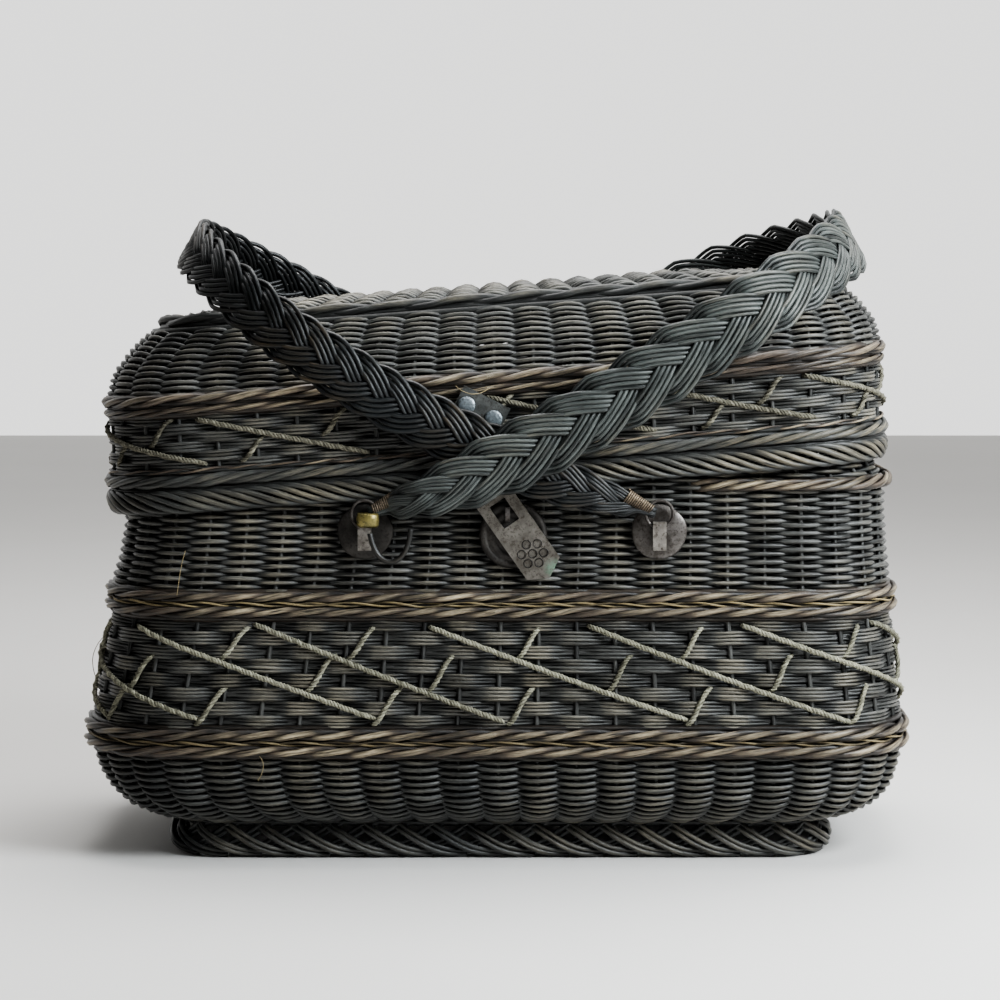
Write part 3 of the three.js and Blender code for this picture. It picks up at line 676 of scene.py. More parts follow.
def placed(handle, path, outward):
    """Takes a strand and the way it faces from a handle's own frame to the basket's."""
    heading = math.radians(handle.heading)
    turn = np.array([
        [math.cos(heading), 0, -math.sin(heading)],
        [0, 1, 0],
        [math.sin(heading), 0, math.cos(heading)],
    ])
    move = np.array([handle.pivot_x, 0, RING["z"]])
    return (path @ turn.T + move)[None], (outward @ turn.T)[None]


def plait(strands, handle):
    """A flat plait: each bundle runs over two from an edge to the middle, then under two."""
    even, line, tangent, outward, width = handle_line(handle)
    upward = np.cross(outward, tangent)
    period = handle.pitch * PLAIT_BUNDLES
    strand_radius = handle.strand / 2
    bundle_half = handle.strand * (handle.members - 1) / 2
    reach = handle.width / 2 - bundle_half - strand_radius
    for bundle in range(PLAIT_BUNDLES):
        spin = handle.hand * TURN * even / period + TURN * bundle / PLAIT_BUNDLES
        folded = np.abs((spin / TURN) % 1.0 - 0.5) * 4 - 1
        across = reach * width * ((1 - handle.straight) * np.cos(spin) + handle.straight * folded)
        slope = np.gradient(across, even)
        lift = PLAIT_LIFT * np.tanh(PLAIT_SNAP * np.sin(2 * spin)) / math.tanh(PLAIT_SNAP)
        lift = lift * (NARROW_LIFT + (1 - NARROW_LIFT) * width)
        tilt = 1 / np.sqrt(1 + slope ** 2)
        members = (np.arange(handle.members) - (handle.members - 1) / 2) * handle.strand * MEMBER_PACKING
        for member in members:
            offset = member * width
            level = across + offset * tilt
            shift = -offset * slope * tilt
            jitter = waver(2, even[None, :] / even[-1], PLAIT_WANDER)
            rounded = lift - BUNDLE_ROUNDING * (member / bundle_half) ** 2 * np.sign(lift)
            path = line + tangent * shift[:, None] + upward * (level + jitter[0])[:, None]
            path = path + outward * (rounded + jitter[1])[:, None]
            radius = strand_radius * (NARROW_STRAND + (1 - NARROW_STRAND) * width)
            radius = radius * rng.uniform(*STRAP_SPREAD)
            edge = np.abs(across / np.maximum(reach * width, TINY)) ** EDGE_POWER
            rim = 1.0 if abs(member) > bundle_half * RIM_MEMBER else 0.0
            crest = np.clip(STRAP_CREST + (1 - STRAP_CREST) * lift / PLAIT_LIFT, 0, 1)
            crest = crest * (1 - EDGE_WEAR + EDGE_WEAR * edge * rim)
            strands.add(*placed(handle, path, outward), radius, CANE_SIDES, False, crest=crest)


def binding(strands, handle):
    """Wire twisted round the strap's two necks."""
    t = np.linspace(0, 1, BINDING["points"])
    size = BINDING["radius"] + BINDING["growth"] * t
    for side in SIDES.values():
        for phase in BINDING["phases"]:
            spin = TURN * (BINDING["turns"] * t + phase)
            middle = side * (RING["out"] + BINDING["lean"] * t ** 2)
            path = np.stack([
                BINDING["start"] + BINDING["length"] * t,
                middle + size * BINDING["flatness"] * np.sin(spin),
                size * np.cos(spin),
            ], axis=-1)
            outward = np.stack([np.zeros_like(t), np.sin(spin), np.cos(spin)], axis=-1)
            strands.add(*placed(handle, path, outward), BINDING["wire"], CANE_SIDES, False, crest=METAL_CREST)


# Metal, with profiles as pairs of radius and height

Wave = namedtuple("Wave", "beats phase")
EDGE_WAVES = [Wave(3, 1.3), Wave(5, 0.4)]
BEND_WAVE = Wave(2, 0.9)
BEND_SIZE = 14
BEND_LIMITS = (-0.15, 0.5)
DISC = {"out": 80.5, "z": 149.9, "segments": 48, "dent": 0.02}
DISC_PROFILE = [
    (12.3, 0), (12.4, 0.5), (11.8, 0.95), (9, 1.35), (5, 1.65), (1.5, 1.75),
]
ESCUTCHEON = {"centre": (7.4, 80.8, 148.6), "segments": 64, "dent": 0.008}
ESCUTCHEON_PROFILE = [
    (15, 0), (15.1, 0.5), (14.1, 1.2), (13.1, 1.45), (12.3, 1.2), (11.6, 0.95), (10.7, 1.4),
    (9.7, 1.75), (8.7, 1.5), (8, 1.2), (6.9, 1.6), (5.9, 1.8), (2, 1.85),
]


def lathe(name, profile, centre, side, segments, dent, material, replaced):
    """A round plate, a little dented, that faces out to one side of the basket."""
    angle = TURN * np.arange(segments) / segments
    radius, height = np.array(profile, float).T[:, :, None]
    wobble = np.ones(segments)
    for wave in EDGE_WAVES:
        wobble = wobble + dent * np.sin(wave.beats * angle + wave.phase) / len(EDGE_WAVES)
    x = centre[0] + radius * wobble * np.cos(angle)
    z = centre[2] + radius * wobble * np.sin(angle)
    bend = dent * BEND_SIZE * np.sin(BEND_WAVE.beats * angle + BEND_WAVE.phase) * (radius / radius.max()) ** 2
    y = side * (centre[1] + height + np.clip(bend, *BEND_LIMITS) * (height > 0))
    points = np.stack([x, y, z], axis=-1).reshape(-1, 3)
    index = np.arange(len(points)).reshape(-1, segments)
    beside = np.roll(index, -1, axis=1)
    quads = np.stack([index[:-1], beside[:-1], beside[1:], index[1:]], axis=-1).reshape(-1, 4)
    faces = [*quads.tolist(), index[0, ::-1].tolist(), index[-1].tolist()]
    faces = [face[::-side] for face in faces]
    mesh = bpy.data.meshes.new(name)
    mesh.from_pydata((points * MM).tolist(), [], faces)
    mesh.shade_smooth()
    place_piece(name, mesh, material, "basket", replaced)


def wire_ring(handle, side, material, name, node):
    """A ring of wire, a little out of round."""
    angle = TURN * np.arange(RING["points"]) / RING["points"]
    radius = RING["radius"] * (1 + RING["dent"] * np.sin(2 * angle + side))
    out = np.full_like(angle, side * RING["out"])
    path = np.stack([radius * np.cos(angle), out, radius * np.sin(angle)], axis=-1)
    outward = np.stack([np.cos(angle), np.zeros_like(angle), np.sin(angle)], axis=-1)
    ring = Strands()
    ring.add(*placed(handle, path, outward), RING["wire"], RING["sides"], True, crest=METAL_CREST)
    ring.build(name, material, handle.body, [node])


# Materials

class Shader:
    """A material's node tree, with short calls to add nodes to it."""

    MIX_FIRST = "i6"
    MIX_SECOND = "i7"
    MIX_RESULT = 2

    def __init__(self, name):
        self.material = bpy.data.materials.new(name)
        self.material.use_nodes = True
        self.tree = self.material.node_tree
        self.surface = self.tree.nodes["Principled BSDF"]

    def add(self, kind, settings=None, **sockets):
        node = self.tree.nodes.new("ShaderNode" + kind)
        for key, value in (settings or {}).items():
            setattr(node, key, value)
        for key, value in sockets.items():
            self.set(node, key, value)
        return node

    def set(self, node, key, value):
        """Sets or links one input, given by its name, or by its number after an i."""
        numbered = key[0] == "i" and key[1:].isdigit()
        socket = node.inputs[int(key[1:])] if numbered else node.inputs[key.replace("_", " ")]
        if isinstance(value, bpy.types.NodeSocket):
            self.tree.links.new(value, socket)
        else:
            socket.default_value = value

    def attribute(self, name, output="Fac"):
        return self.add("Attribute", {"attribute_name": name}).outputs[output]

    def noise(self, vector, scale, detail=3.0, roughness=0.55):
        node = self.add("TexNoise", Vector=vector, Scale=scale, Detail=detail, Roughness=roughness)
        return node.outputs["Fac"]

    def drawn_noise(self, vector, scale, detail):
        """Noise with a scale of its own along each axis."""
        drawn = self.add("VectorMath", {"operation": "MULTIPLY"}, i0=vector, i1=scale)
        return self.noise(drawn.outputs["Vector"], 1.0, detail)

    def math(self, operation, first, second):
        return self.add("Math", {"operation": operation}, i0=first, i1=second).outputs["Value"]

    def ramp(self, value, low, high, start=0.0):
        node = self.add("MapRange", Value=value, From_Min=low, From_Max=high, To_Min=start)
        return node.outputs["Result"]

    def mix(self, factor, first, second):
        node = self.add("Mix", {"data_type": "RGBA"}, i0=factor)
        self.set(node, self.MIX_FIRST, first)
        self.set(node, self.MIX_SECOND, second)
        return node.outputs[self.MIX_RESULT]

    def roughness(self, value, middle, below, above):
        node = self.add("MapRange", Value=value, To_Min=middle - below, To_Max=middle + above)
        self.set(self.surface, "Roughness", node.outputs["Result"])

    def bump(self, height, strength, distance):
        node = self.add("Bump", Height=height, Strength=strength, Distance=distance)
        self.tree.links.new(node.outputs["Normal"], self.surface.inputs["Normal"])


def srgb(red, green, blue):
    """A colour given as it looks on a screen, from 0 to 255, as the shader needs it."""
    shares = [value / 255 for value in (red, green, blue)]
    linear = [share / 12.92 if share <= 0.04045 else ((share + 0.055) / 1.055) ** 2.4 for share in shares]
    return (*linear, 1.0)


# Old cane: noises drawn out along the strand, their weights, and the ranges that they are read over

# Painted shade: the near black that low-crest parts are mixed towards, on the inner side of each strand,
# behind the stakes and on the rods that fill the wall.
PAINTED_SHADE = srgb(7, 7, 7)
STREAK = {"scale": (0.09, 1.6, 1.6), "detail": 4.0}
FINE = {"scale": (0.35, 5.0, 5.0), "detail": 3.0}
FIBRE = {"scale": (0.06, 3.6, 3.6), "detail": 2.0}
PATCH = {"scale": 17.0, "detail": 3.0}
TINT_WEIGHT = 0.45
STREAK_WEIGHT = 1.1
FIBRE_WEIGHT = 1.1
SHADE_RANGE = (0.98, 1.75)
RUBBED_CREST = (0.35, 1.0)
RUBBED_PATCH = (0.38, 0.68)
RUBBED_STREAK = (0.3, 0.62)
PORES = (0.62, 0.3)
PORE_SHADE = 0.5
# Crest range over which the painted shade fades out, and the share of the cane's own colour kept where it is
# darkest.
PAINTED_SHADE_CREST = (0.0, 0.3)
OWN_COLOUR_LEAST = 0.4
CANE_SHEEN = (0.1, 0.15)
BUMP_DISTANCE = 0.0004


Cane = namedtuple("Cane", "dark pale worn wear roughness specular grain", defaults=(0.4, 0.35))


def strand_material(name, look):
    """Old cane: streaks along the strand, a shade of its own for each, worn crests, and painted shade where
    the crest is low.
    """
    shader = Shader(name)
    dark, pale, worn = (srgb(*colour) for colour in (look.dark, look.pale, look.worn))
    place = shader.attribute("place", "Vector")
    streak = shader.drawn_noise(place, **STREAK)
    fine = shader.drawn_noise(place, **FINE)
    where = shader.add("TexCoord").outputs["Object"]
    patch = shader.noise(where, **PATCH)
    fibre = shader.drawn_noise(place, **FIBRE)
    shade = shader.math("MULTIPLY", shader.attribute("tint"), TINT_WEIGHT)
    shade = shader.math("ADD", shade, shader.math("MULTIPLY", streak, STREAK_WEIGHT))
    shade = shader.math("ADD", shade, shader.math("MULTIPLY", fibre, FIBRE_WEIGHT))
    colour = shader.mix(shader.ramp(shade, *SHADE_RANGE), dark, pale)
    crest = shader.attribute("crest")
    rubbed = shader.math("MULTIPLY", shader.ramp(crest, *RUBBED_CREST), shader.ramp(patch, *RUBBED_PATCH))
    rubbed = shader.math("MULTIPLY", rubbed, shader.ramp(streak, *RUBBED_STREAK))
    colour = shader.mix(shader.math("MULTIPLY", rubbed, look.wear), colour, worn)
    colour = shader.mix(shader.ramp(fine, *PORES), colour, shader.mix(PORE_SHADE, colour, dark))
    # Painted shade: where the crest is low, the colour is mixed towards the near black.
    colour = shader.mix(shader.ramp(crest, *PAINTED_SHADE_CREST, OWN_COLOUR_LEAST), PAINTED_SHADE, colour)
    shader.set(shader.surface, "Base Color", colour)
    shader.roughness(fine, look.roughness, *CANE_SHEEN)
    shader.set(shader.surface, "Specular IOR Level", look.specular)
    shader.bump(fine, look.grain, BUMP_DISTANCE)
    return shader.material


# Old metal: patches and pits, with the ranges that they are read over

Metal = namedtuple("Metal", "bright dull rust roughness")
Stain = namedtuple("Stain", "place radius colour")
VERDIGRIS = Stain((0.0255, -0.084, 0.134), 0.005, (120, 150, 130))
BROAD = {"scale": 130.0, "detail": 4.0, "roughness": 0.6}
PITS = {"scale": 900.0, "detail": 4.0, "roughness": 0.6}
DULL_RANGE = (0.35, 0.62)
RUST_RANGE = (0.5, 0.72)
STAIN_RANGE = (0.3, 0.55)
METAL_SHARE = 0.65
METAL_SHEEN = (0.12, 0.2)
PIT_STRENGTH = 0.35


def iron_material(name, look, stain=None):
    """Old tarnished metal, with rust in patches and pits, and a stain round one place."""
    shader = Shader(name)
    bright, dull, rust = (srgb(*colour) for colour in (look.bright, look.dull, look.rust))
    where = shader.add("TexCoord").outputs["Object"]
    broad = shader.noise(where, **BROAD)
    pits = shader.noise(where, **PITS)
    colour = shader.mix(shader.ramp(broad, *DULL_RANGE), bright, dull)
    colour = shader.mix(shader.ramp(pits, *RUST_RANGE), colour, rust)
    if stain:
        spot = shader.add("NewGeometry").outputs["Position"]
        away = shader.add("VectorMath", {"operation": "DISTANCE"}, i0=spot, i1=stain.place)
        near = shader.ramp(away.outputs["Value"], stain.radius, 0.0)
        share = shader.math("MULTIPLY", near, shader.ramp(pits, *STAIN_RANGE))
        colour = shader.mix(share, colour, srgb(*stain.colour))
    shader.set(shader.surface, "Base Color", colour)
    shader.set(shader.surface, "Metallic", METAL_SHARE)
    shader.roughness(broad, look.roughness, *METAL_SHEEN)
    shader.bump(pits, PIT_STRENGTH, BUMP_DISTANCE)
    return shader.material


RIGHT_STRAP = Cane((18, 20, 20), (98, 103, 100), (164, 154, 130), 0.8, 0.38)
# The left strap's cane is a much darker copy of the right strap's, as painted shade on the basket's left
# side.
LEFT_STRAP_IN_SHADE = Cane((8, 9, 10), (32, 35, 36), (112, 92, 62), 0.85, 0.4)
TWINE = Cane((66, 64, 54), (158, 156, 137), (194, 191, 172), 0.5, 0.85, 0.15, 0.6)
SOILED_TWINE = Cane((50, 48, 41), (134, 130, 115), (172, 168, 150), 0.5, 0.85, 0.15, 0.6)
cane = strand_material("old_cane", Cane((15, 15, 15), (92, 92, 89), (174, 165, 144), 0.68, 0.4))
border_cane = strand_material("border_cane", Cane((18, 18, 18), (74, 75, 72), (160, 148, 122), 0.7, 0.42))
# A darker copy of the cane, as painted shade on the lower wall and the foot.
low_cane_in_shade = strand_material("shaded_low_cane", Cane((12, 12, 12), (72, 73, 71), (146, 138, 120), 0.6, 0.4))
brown_rods = strand_material("brown_rods", Cane((16, 13, 11), (94, 82, 71), (214, 198, 166), 0.88, 0.4))
straw = strand_material("straw", Cane((70, 60, 42), (150, 134, 96), (196, 180, 140), 0.6, 0.6))
strap_canes = {
    "handle_right": strand_material("right_strap_cane", RIGHT_STRAP),
    "handle_left": strand_material("shaded_left_strap_cane", LEFT_STRAP_IN_SHADE),
}
twine = strand_material("pale_twine", TWINE)
soiled_twine = strand_material("soiled_twine", SOILED_TWINE)
iron = iron_material("old_iron_metal", Metal((84, 80, 77), (50, 46, 43), (40, 32, 27), 0.48))
rivet_metal = iron_material("grey_rivets", Metal((140, 149, 154), (104, 112, 116), (74, 78, 78), 0.4))
leaf_metal = iron_material("dark_leaf", Metal((96, 98, 96), (64, 66, 65), (54, 50, 46), 0.5))
HASP = Metal((118, 114, 108), (85, 81, 75), (64, 57, 50), 0.38)
tongue_metal = iron_material("brown_hasp", HASP, VERDIGRIS)
# A lighter iron for the right discs, whose brightness stands in for their highlights: painted highlight.
lit_disc_metal = iron_material("lit_disc_iron", Metal((104, 100, 97), (58, 54, 50), (42, 34, 29), 0.38))
# The staples are given the colour of their highlights: painted highlight.
lit_staple_metal = iron_material("lit_staple_iron", Metal((150, 145, 138), (98, 93, 88), (60, 52, 45), 0.36))
wire_metal = iron_material("binding_wire", Metal((138, 124, 106), (88, 77, 66), (56, 47, 40), 0.45))
brass = iron_material("old_brass", Metal((150, 138, 86), (86, 82, 52), (44, 46, 36), 0.34))
plate_metal = iron_material("dark_plate", Metal((62, 59, 56), (40, 38, 36), (32, 27, 24), 0.5))


def halves(*names):
    """The names of the solids that stand for a wall: its front and its back."""
    return [f"{name}_{half}" for name in names for half in SIDES]


# Body

body_wall = Wall(BODY_SECTIONS, BODY_REFERENCE)
body_top = body_wall.length - WALL_END
lower_high = body_wall.up_at(LOWER_WEAVE_HIGH)
band_low, band_high = (body_wall.up_at(z) for z in BODY_BAND)

lower_weave = Strands()
randing(lower_weave, body_wall, BODY_STAKES, LOWER_WEAVE_START, lower_high, LOWER_RANDING)
lower_weave.build("lower_weave", low_cane_in_shade, replaced=halves("body_bowl", "body_base"))

upper_weave = Strands()
randing(upper_weave, body_wall, BODY_STAKES, body_wall.up_at(UPPER_WEAVE_LOW), body_top, UPPER_RANDING)
upper_weave.build("upper_weave", cane, replaced=halves("body_upper", "body_rim"))

body_band = Strands()
grouped_weave(body_band, body_wall, BODY_STAKES, band_low, band_high, BODY_GROUPS)
stakes_up(body_band, body_wall, BODY_STAKES, WALL_END, body_top)
body_band.build("body_band_and_stakes", cane, replaced=halves("body_band"))

# Floor of the body

FLOOR_WEAVE = {"pitch": 4.4, "radius": 2.1, "points": 4, "lift": 2.4, "swing": 1.5, "least_swing": 0.2}


def floor_rows(strands, wall, stakes):
    """The floor's thicker strands, woven in rings round its middle."""
    rows = int(wall.length / FLOOR_WEAVE["pitch"])
    share = ring_shares(stakes, FLOOR_WEAVE["points"])
    ups = (np.arange(rows) + 0.5) * wall.length / rows
    wave = np.cos(math.pi * (stakes * share[None, :] + np.arange(rows)[:, None]))
    here, _ = wall.at(share[None, :], ups[:, None])
    room = np.linalg.norm(np.roll(here, -FLOOR_WEAVE["points"], axis=1) - here, axis=2)
    down = np.broadcast_to(np.array([0, 0, -1.0]), here.shape)
    swing = FLOOR_WEAVE["swing"] * wave * np.clip(room / STAKE_ROOM, FLOOR_WEAVE["least_swing"], 1)
    paths = here + np.array([0, 0, FLOOR_WEAVE["lift"]]) + down * swing[..., None]
    strands.add(paths, down, FLOOR_WEAVE["radius"], CORE_SIDES, True, crest=np.clip(wave, 0, 1))


floor_wall = Wall(FLOOR_SECTIONS, reference=-1)
floor_weave = Strands()
floor_rows(floor_weave, floor_wall, BODY_STAKES)
floor_weave.build("floor_weave", cane)

# Wales and straw rows of the body

rope_piece("lower_wale", body_wall, LOWER_WALE, LOWER_WALE_CORE, brown_rods, ["body_lower_wale"])
rope_piece("upper_wale", body_wall, UPPER_WALE, UPPER_WALE_CORE, brown_rods, ["body_upper_wale"])
rope_piece("rim_wale", body_wall, RIM_WALE, None, brown_rods, ["body_rim_wale"], RIM_SPAN)
rope_piece("straw_rows", body_wall, STRAW_ROWS, None, straw)

# Foot

foot_wall = Wall(FOOT_SECTIONS)
foot_strands = Strands()
foot_plait(foot_strands, foot_wall)
foot_core_ups = [foot_wall.up_at(z) for z in FOOT_CORE.heights]
core_rods(foot_strands, foot_wall, foot_core_ups, FOOT_CORE.sunk, FOOT_CORE.radius)
foot_strands.build("foot_plait", low_cane_in_shade, replaced=["foot_ring"])

# Lid

lid_wall = Wall(LID_SECTIONS, leans=True)
dome_low, dome_high = (lid_wall.up_at(z) for z in LID_DOME)
panel_low = lid_wall.up_at(LID_PANEL_LOW)

lid_weave = Strands()
randing(lid_weave, lid_wall, LID_STAKES, dome_low, dome_high, DOME_RANDING)
randing(lid_weave, lid_wall, LID_STAKES, panel_low, lid_wall.length - WALL_END, PANEL_RANDING)
lid_weave.build("lid_weave", cane, replaced=halves("lid_dome", "lid_top"))

lid_band = Strands()
grouped_weave(lid_band, lid_wall, LID_STAKES, *(lid_wall.up_at(z) for z in LID_BAND), LID_GROUPS)
stakes_up(lid_band, lid_wall, LID_STAKES, WALL_END, panel_low)
lid_band.build("lid_band_and_stakes", cane, replaced=halves("lid_band"))

rope_piece("lid_border_rods", lid_wall, LID_BORDER, LID_BORDER_CORE, border_cane, ["lid_border"])
rope_piece("lid_wale_rods", lid_wall, LID_WALE, LID_WALE_CORE, brown_rods, ["lid_wale"])
rope_piece("lid_ridge_rods", lid_wall, LID_RIDGE, LID_RIDGE_CORE, border_cane, ["lid_ridge_wale"])
rope_piece("lid_straw_row", lid_wall, LID_STRAW, None, brown_rods)

# Twine stitches

TWINE_EDGE = 1
stitches = Strands()
twine_pattern(stitches, body_wall, band_low + TWINE_EDGE, band_high - TWINE_EDGE, BODY_STITCHING)
stitches.build("twine_stitches", twine)

lid_stitches = Strands()
twine_pattern(lid_stitches, lid_wall, *(lid_wall.up_at(z) for z in LID_TWINE), LID_STITCHING)
lid_stitches.build("lid_stitches", soiled_twine)

# Handles

for handle in HANDLES:
    strap = Strands()
    plait(strap, handle)
    strap.build(f"{handle.name}_plait", strap_canes[handle.name], handle.body, [handle.name])
    wires = Strands()
    binding(wires, handle)
    wires.build(f"{handle.name}_binding", wire_metal, handle.body)
    for side_name, side in SIDES.items():
        node = f"ring_{handle.rings}_{side_name}"
        wire_ring(handle, side, iron, f"{node}_wire", node)

# Discs, escutcheon and other fittings

for handle in HANDLES:
    # Painted shade and highlight: the left discs take the dark plate finish, the right discs the lighter
    # iron.
    finish = plate_metal if handle.rings == "left" else lit_disc_metal
    centre = (handle.pivot_x, DISC["out"], DISC["z"])
    for side_name, side in SIDES.items():
        node = f"disc_{handle.rings}_{side_name}"
        lathe(f"{node}_plate", DISC_PROFILE, centre, side, DISC["segments"], DISC["dent"], finish, [node])

lathe(
    "escutcheon_plate", ESCUTCHEON_PROFILE, ESCUTCHEON["centre"], SIDES["front"], ESCUTCHEON["segments"],
    ESCUTCHEON["dent"], plate_metal, ["escutcheon"],
)

FITTING_BEVEL = 0.28
BEVEL_SEGMENTS = 2
FITTING_FINISHES = {"staple": lit_staple_metal, "rivet": rivet_metal, "leaf": leaf_metal, "tongue": tongue_metal}
for name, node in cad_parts.items():
    if name.startswith(("staple", "hasp", "lid_hinge")):
        bevel = node.modifiers.new("worn_edges", "BEVEL")
        bevel.width = FITTING_BEVEL * MM
        bevel.segments = BEVEL_SEGMENTS
        bevel.limit_method = "ANGLE"
        finish = next((metal for word, metal in FITTING_FINISHES.items() if word in name), iron)
        node.data.materials.clear()
        node.data.materials.append(finish)

# Seven thin dark rings round the pressed dimples on the tongue, in its own plane: painted shade at the
# dimples' edges

TONGUE = {"pivot_x": -7.5, "pivot_z": 174.3, "swing": 35, "length": 54.5, "face": 84}
ROSETTE = {"petals": 6, "from_tip": 13.2, "spread": 4.9, "radius": 1.9, "line": 0.24, "points": 28}


def dimple_shade_rings(strands):
    angle = TURN * np.arange(ROSETTE["points"]) / ROSETTE["points"]
    swing = math.radians(TONGUE["swing"])
    petals = TURN * np.arange(ROSETTE["petals"]) / ROSETTE["petals"]
    across = np.concatenate([[0], ROSETTE["spread"] * np.sin(petals)])[:, None]
    across = across + ROSETTE["radius"] * np.cos(angle)
    down = ROSETTE["from_tip"] - TONGUE["length"] + ROSETTE["radius"] * np.sin(angle)
    down = np.concatenate([[0], ROSETTE["spread"] * np.cos(petals)])[:, None] + down
    paths = np.stack([
        TONGUE["pivot_x"] + across * math.cos(swing) - down * math.sin(swing),
        np.full_like(across, -TONGUE["face"]),
        TONGUE["pivot_z"] + across * math.sin(swing) + down * math.cos(swing),
    ], axis=-1)
    facing = np.broadcast_to(np.array([0, -1.0, 0]), paths.shape)
    strands.add(paths, facing, ROSETTE["line"], CANE_SIDES, True)


shade_rings = Strands()
dimple_shade_rings(shade_rings)
shade_rings.build("hasp_rosette_shade_lines", plate_metal, "basket")

# Link between the leaf and the tongue, and brass collar on the left staple

LOOP_STEPS = 32
LOOP_SIDES = 8
LINK = {"centre": (-7.2, -83.6, 177.6), "first": (0, 1.3, 0), "second": (0, 0, 4.4), "radius": 0.7}
COLLAR = {"centre": (-57, -86, 155.6), "first": (4.4, 0, 0), "second": (0, 2.8, 0), "radius": 3.2}
COLLAR_FLATNESS = 0.22


def oval_loop(name, material, centre, first, second, radius, flatten=1.0):
    """A closed loop round a centre, with the half axes first and second."""
    angle = TURN * np.arange(LOOP_STEPS)[:, None] / LOOP_STEPS
    first = np.array(first, float)
    second = np.array(second, float)
    path = np.array(centre) + first * np.cos(angle) + second * np.sin(angle)
    outward = unit(first) * np.cos(angle) + unit(second) * np.sin(angle)
    loop = Strands()
    loop.add(path[None], outward[None], radius, LOOP_SIDES, True, flatten=flatten)
    loop.build(name, material, "basket")


oval_loop("hasp_link", iron, **LINK)
oval_loop("left_ring_collar", brass, **COLLAR, flatten=COLLAR_FLATNESS)

# Hanging loop of cane beside the collar, and a few stray fibres

BEND_POINTS = 8
BEND_REACH = 7
HANGING_RADIUS = 1.3
HANGING_CREST = 0.6
HANGING_LOOP = [
    (-38, -89.5, 152), (-38.5, -90, 145), (-43, -90, 137),
    (-50, -90, 137), (-54.5, -90, 143), (-56, -89.5, 150),
]
FIBRE_RADIUS = 0.18
FIBRES = [
    [(-109, -88, 53), (-104, -91.5, 50), (-103, -93, 45), (-106, -93, 40)],
    [(-139, -78, 141), (-140, -85, 136), (-141, -87, 128), (-142, -86, 122)],
    [(-183, -20, 96), (-189, -22, 90), (-190, -24, 80), (-186, -24, 72)],
    [(-3, -82, 214), (-8, -86, 211), (-14, -88, 212), (-18, -85, 215)],
]


def bent_strand(strands, corners, radius, crest):
    """A strand that bends smoothly through a few places, facing the front."""
    count = len(corners)
    t = np.linspace(0, count - 1, BEND_POINTS * count)
    columns = np.array(corners, float).T
    bent = [soften(np.interp(t, np.arange(count), column), BEND_REACH) for column in columns]
    path = np.stack(bent, axis=-1)
    facing = np.broadcast_to(np.array([0, -1.0, 0]), path.shape)
    strands.add(path[None], facing[None], radius, ROD_SIDES, False, crest=crest)


hanging_loop = Strands()
bent_strand(hanging_loop, HANGING_LOOP, HANGING_RADIUS, HANGING_CREST)
hanging_loop.build("left_ring_loop", strap_canes["handle_left"], "right_handle")

fibres = Strands()
for corners in FIBRES:
    bent_strand(fibres, corners, FIBRE_RADIUS, 1.0)
fibres.build("stray_fibres", straw)

# Stage, in metres

FLOOR_SIZE = 60.0
FLOOR_GREYS = (srgb(194, 192, 189), srgb(202, 200, 197))
FLOOR_MOTTLE = 3.0
FLOOR_ROUGHNESS = 0.8
bpy.ops.mesh.primitive_plane_add(size=FLOOR_SIZE)
floor = bpy.context.object
floor.name = "floor"
paint = Shader("pale_floor")
where = paint.add("TexCoord").outputs["Object"]
paint.set(paint.surface, "Base Color", paint.mix(paint.noise(where, FLOOR_MOTTLE), *FLOOR_GREYS))
paint.set(paint.surface, "Roughness", FLOOR_ROUGHNESS)
floor.data.materials.append(paint.material)

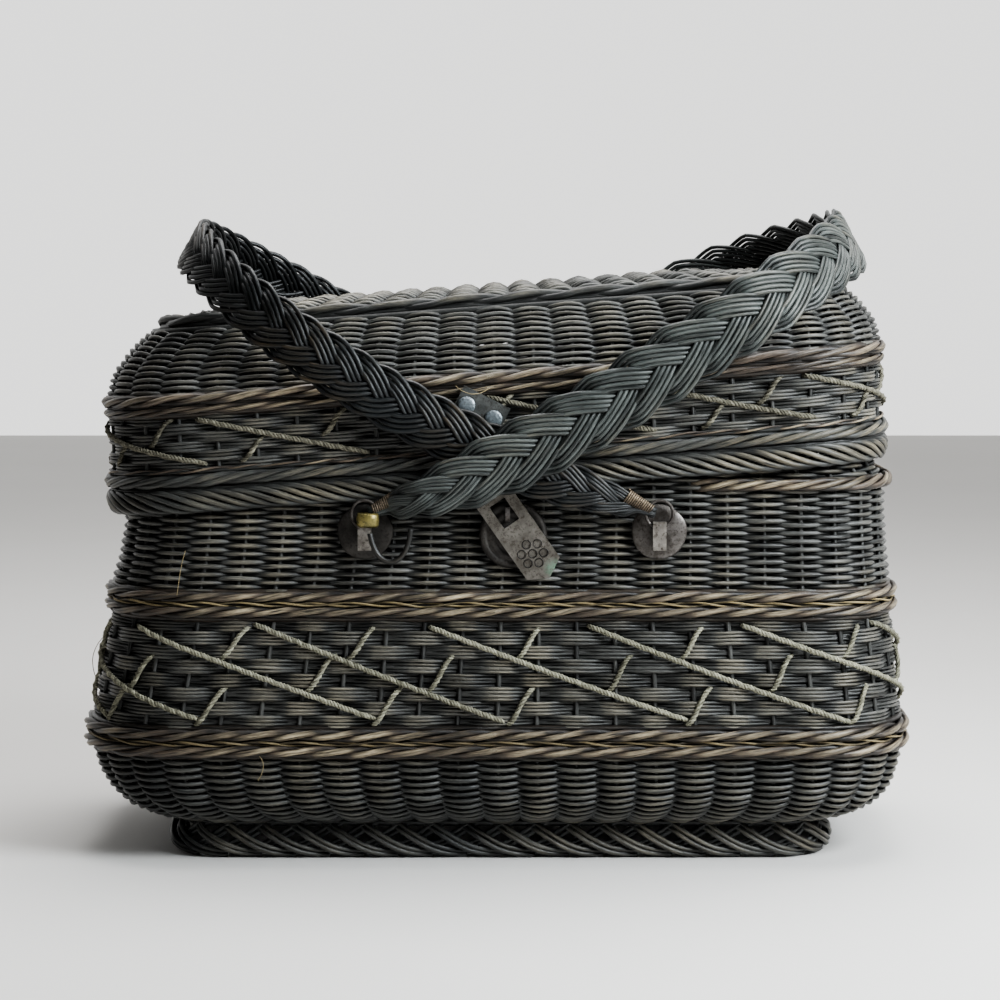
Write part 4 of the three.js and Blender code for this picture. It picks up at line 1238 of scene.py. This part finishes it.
BACKDROP_PLACE = (0, 3.0, 0)
BACKDROP_TURN = (TURN / 4, 0, 0)
BACKDROP_SIZE = 12.0
BACKDROP_GREY = srgb(232, 232, 231)
BACKDROP_GLOW = 1.6
bpy.ops.mesh.primitive_plane_add(size=BACKDROP_SIZE, location=BACKDROP_PLACE, rotation=BACKDROP_TURN)
backdrop = bpy.context.object
backdrop.name = "backdrop"
glow = Shader("pale_backdrop")
glow.set(glow.surface, "Base Color", srgb(0, 0, 0))
glow.set(glow.surface, "Emission Color", BACKDROP_GREY)
glow.set(glow.surface, "Emission Strength", BACKDROP_GLOW)
backdrop.data.materials.append(glow.material)

ROOM_COLOUR = (0.82, 0.83, 0.85, 1)
ROOM_STRENGTH = 0.1
world = bpy.data.worlds.new("soft_room")
scene.world = world
world.use_nodes = True
room = world.node_tree.nodes["Background"]
room.inputs["Color"].default_value = ROOM_COLOUR
room.inputs["Strength"].default_value = ROOM_STRENGTH

# Lamps, in metres and watts

Lamp = namedtuple("Lamp", "name place size power colour")
LAMPS = [
    Lamp("window", (0.58, -0.44, 0.54), 0.4, 16.5, (0.91, 0.965, 1)),
    Lamp("overhead", (0.1, 0.2, 1.4), 1.0, 27, (1, 1, 1)),
    Lamp("fill", (-1.3, -1.2, 0.6), 1.4, 0.4, (1, 1, 1)),
]
LAMP_TARGET = (0, 0, 0.13)
for lamp in LAMPS:
    data = bpy.data.lights.new(lamp.name, "AREA")
    data.size = lamp.size
    data.energy = lamp.power
    data.color = lamp.colour
    light = bpy.data.objects.new(lamp.name, data)
    light.location = lamp.place
    light.rotation_euler = (Vector(LAMP_TARGET) - Vector(lamp.place)).to_track_quat("-Z", "Y").to_euler()
    scene.collection.objects.link(light)
scene.view_settings.look = "AgX - Medium High Contrast"

# Camera, in metres, with its focal length and horizon in pixels of the square picture

IMAGE_SIZE = 1000
FOCAL_PIXELS = 2705
HORIZON_ROW = 265.7
SENSOR = 36
CLIP_START = 0.01
CAMERA_PLACE = (0.0016, -1.28, 0.268)
camera_data = bpy.data.cameras.new("camera")
camera_data.sensor_width = SENSOR
camera_data.lens = SENSOR * FOCAL_PIXELS / IMAGE_SIZE
camera_data.clip_start = CLIP_START
camera = bpy.data.objects.new("camera", camera_data)
camera.location = CAMERA_PLACE
tilt = math.atan((IMAGE_SIZE / 2 - HORIZON_ROW) / FOCAL_PIXELS)
camera.rotation_euler = (math.pi / 2 - tilt, 0, 0)
scene.collection.objects.link(camera)
scene.camera = camera
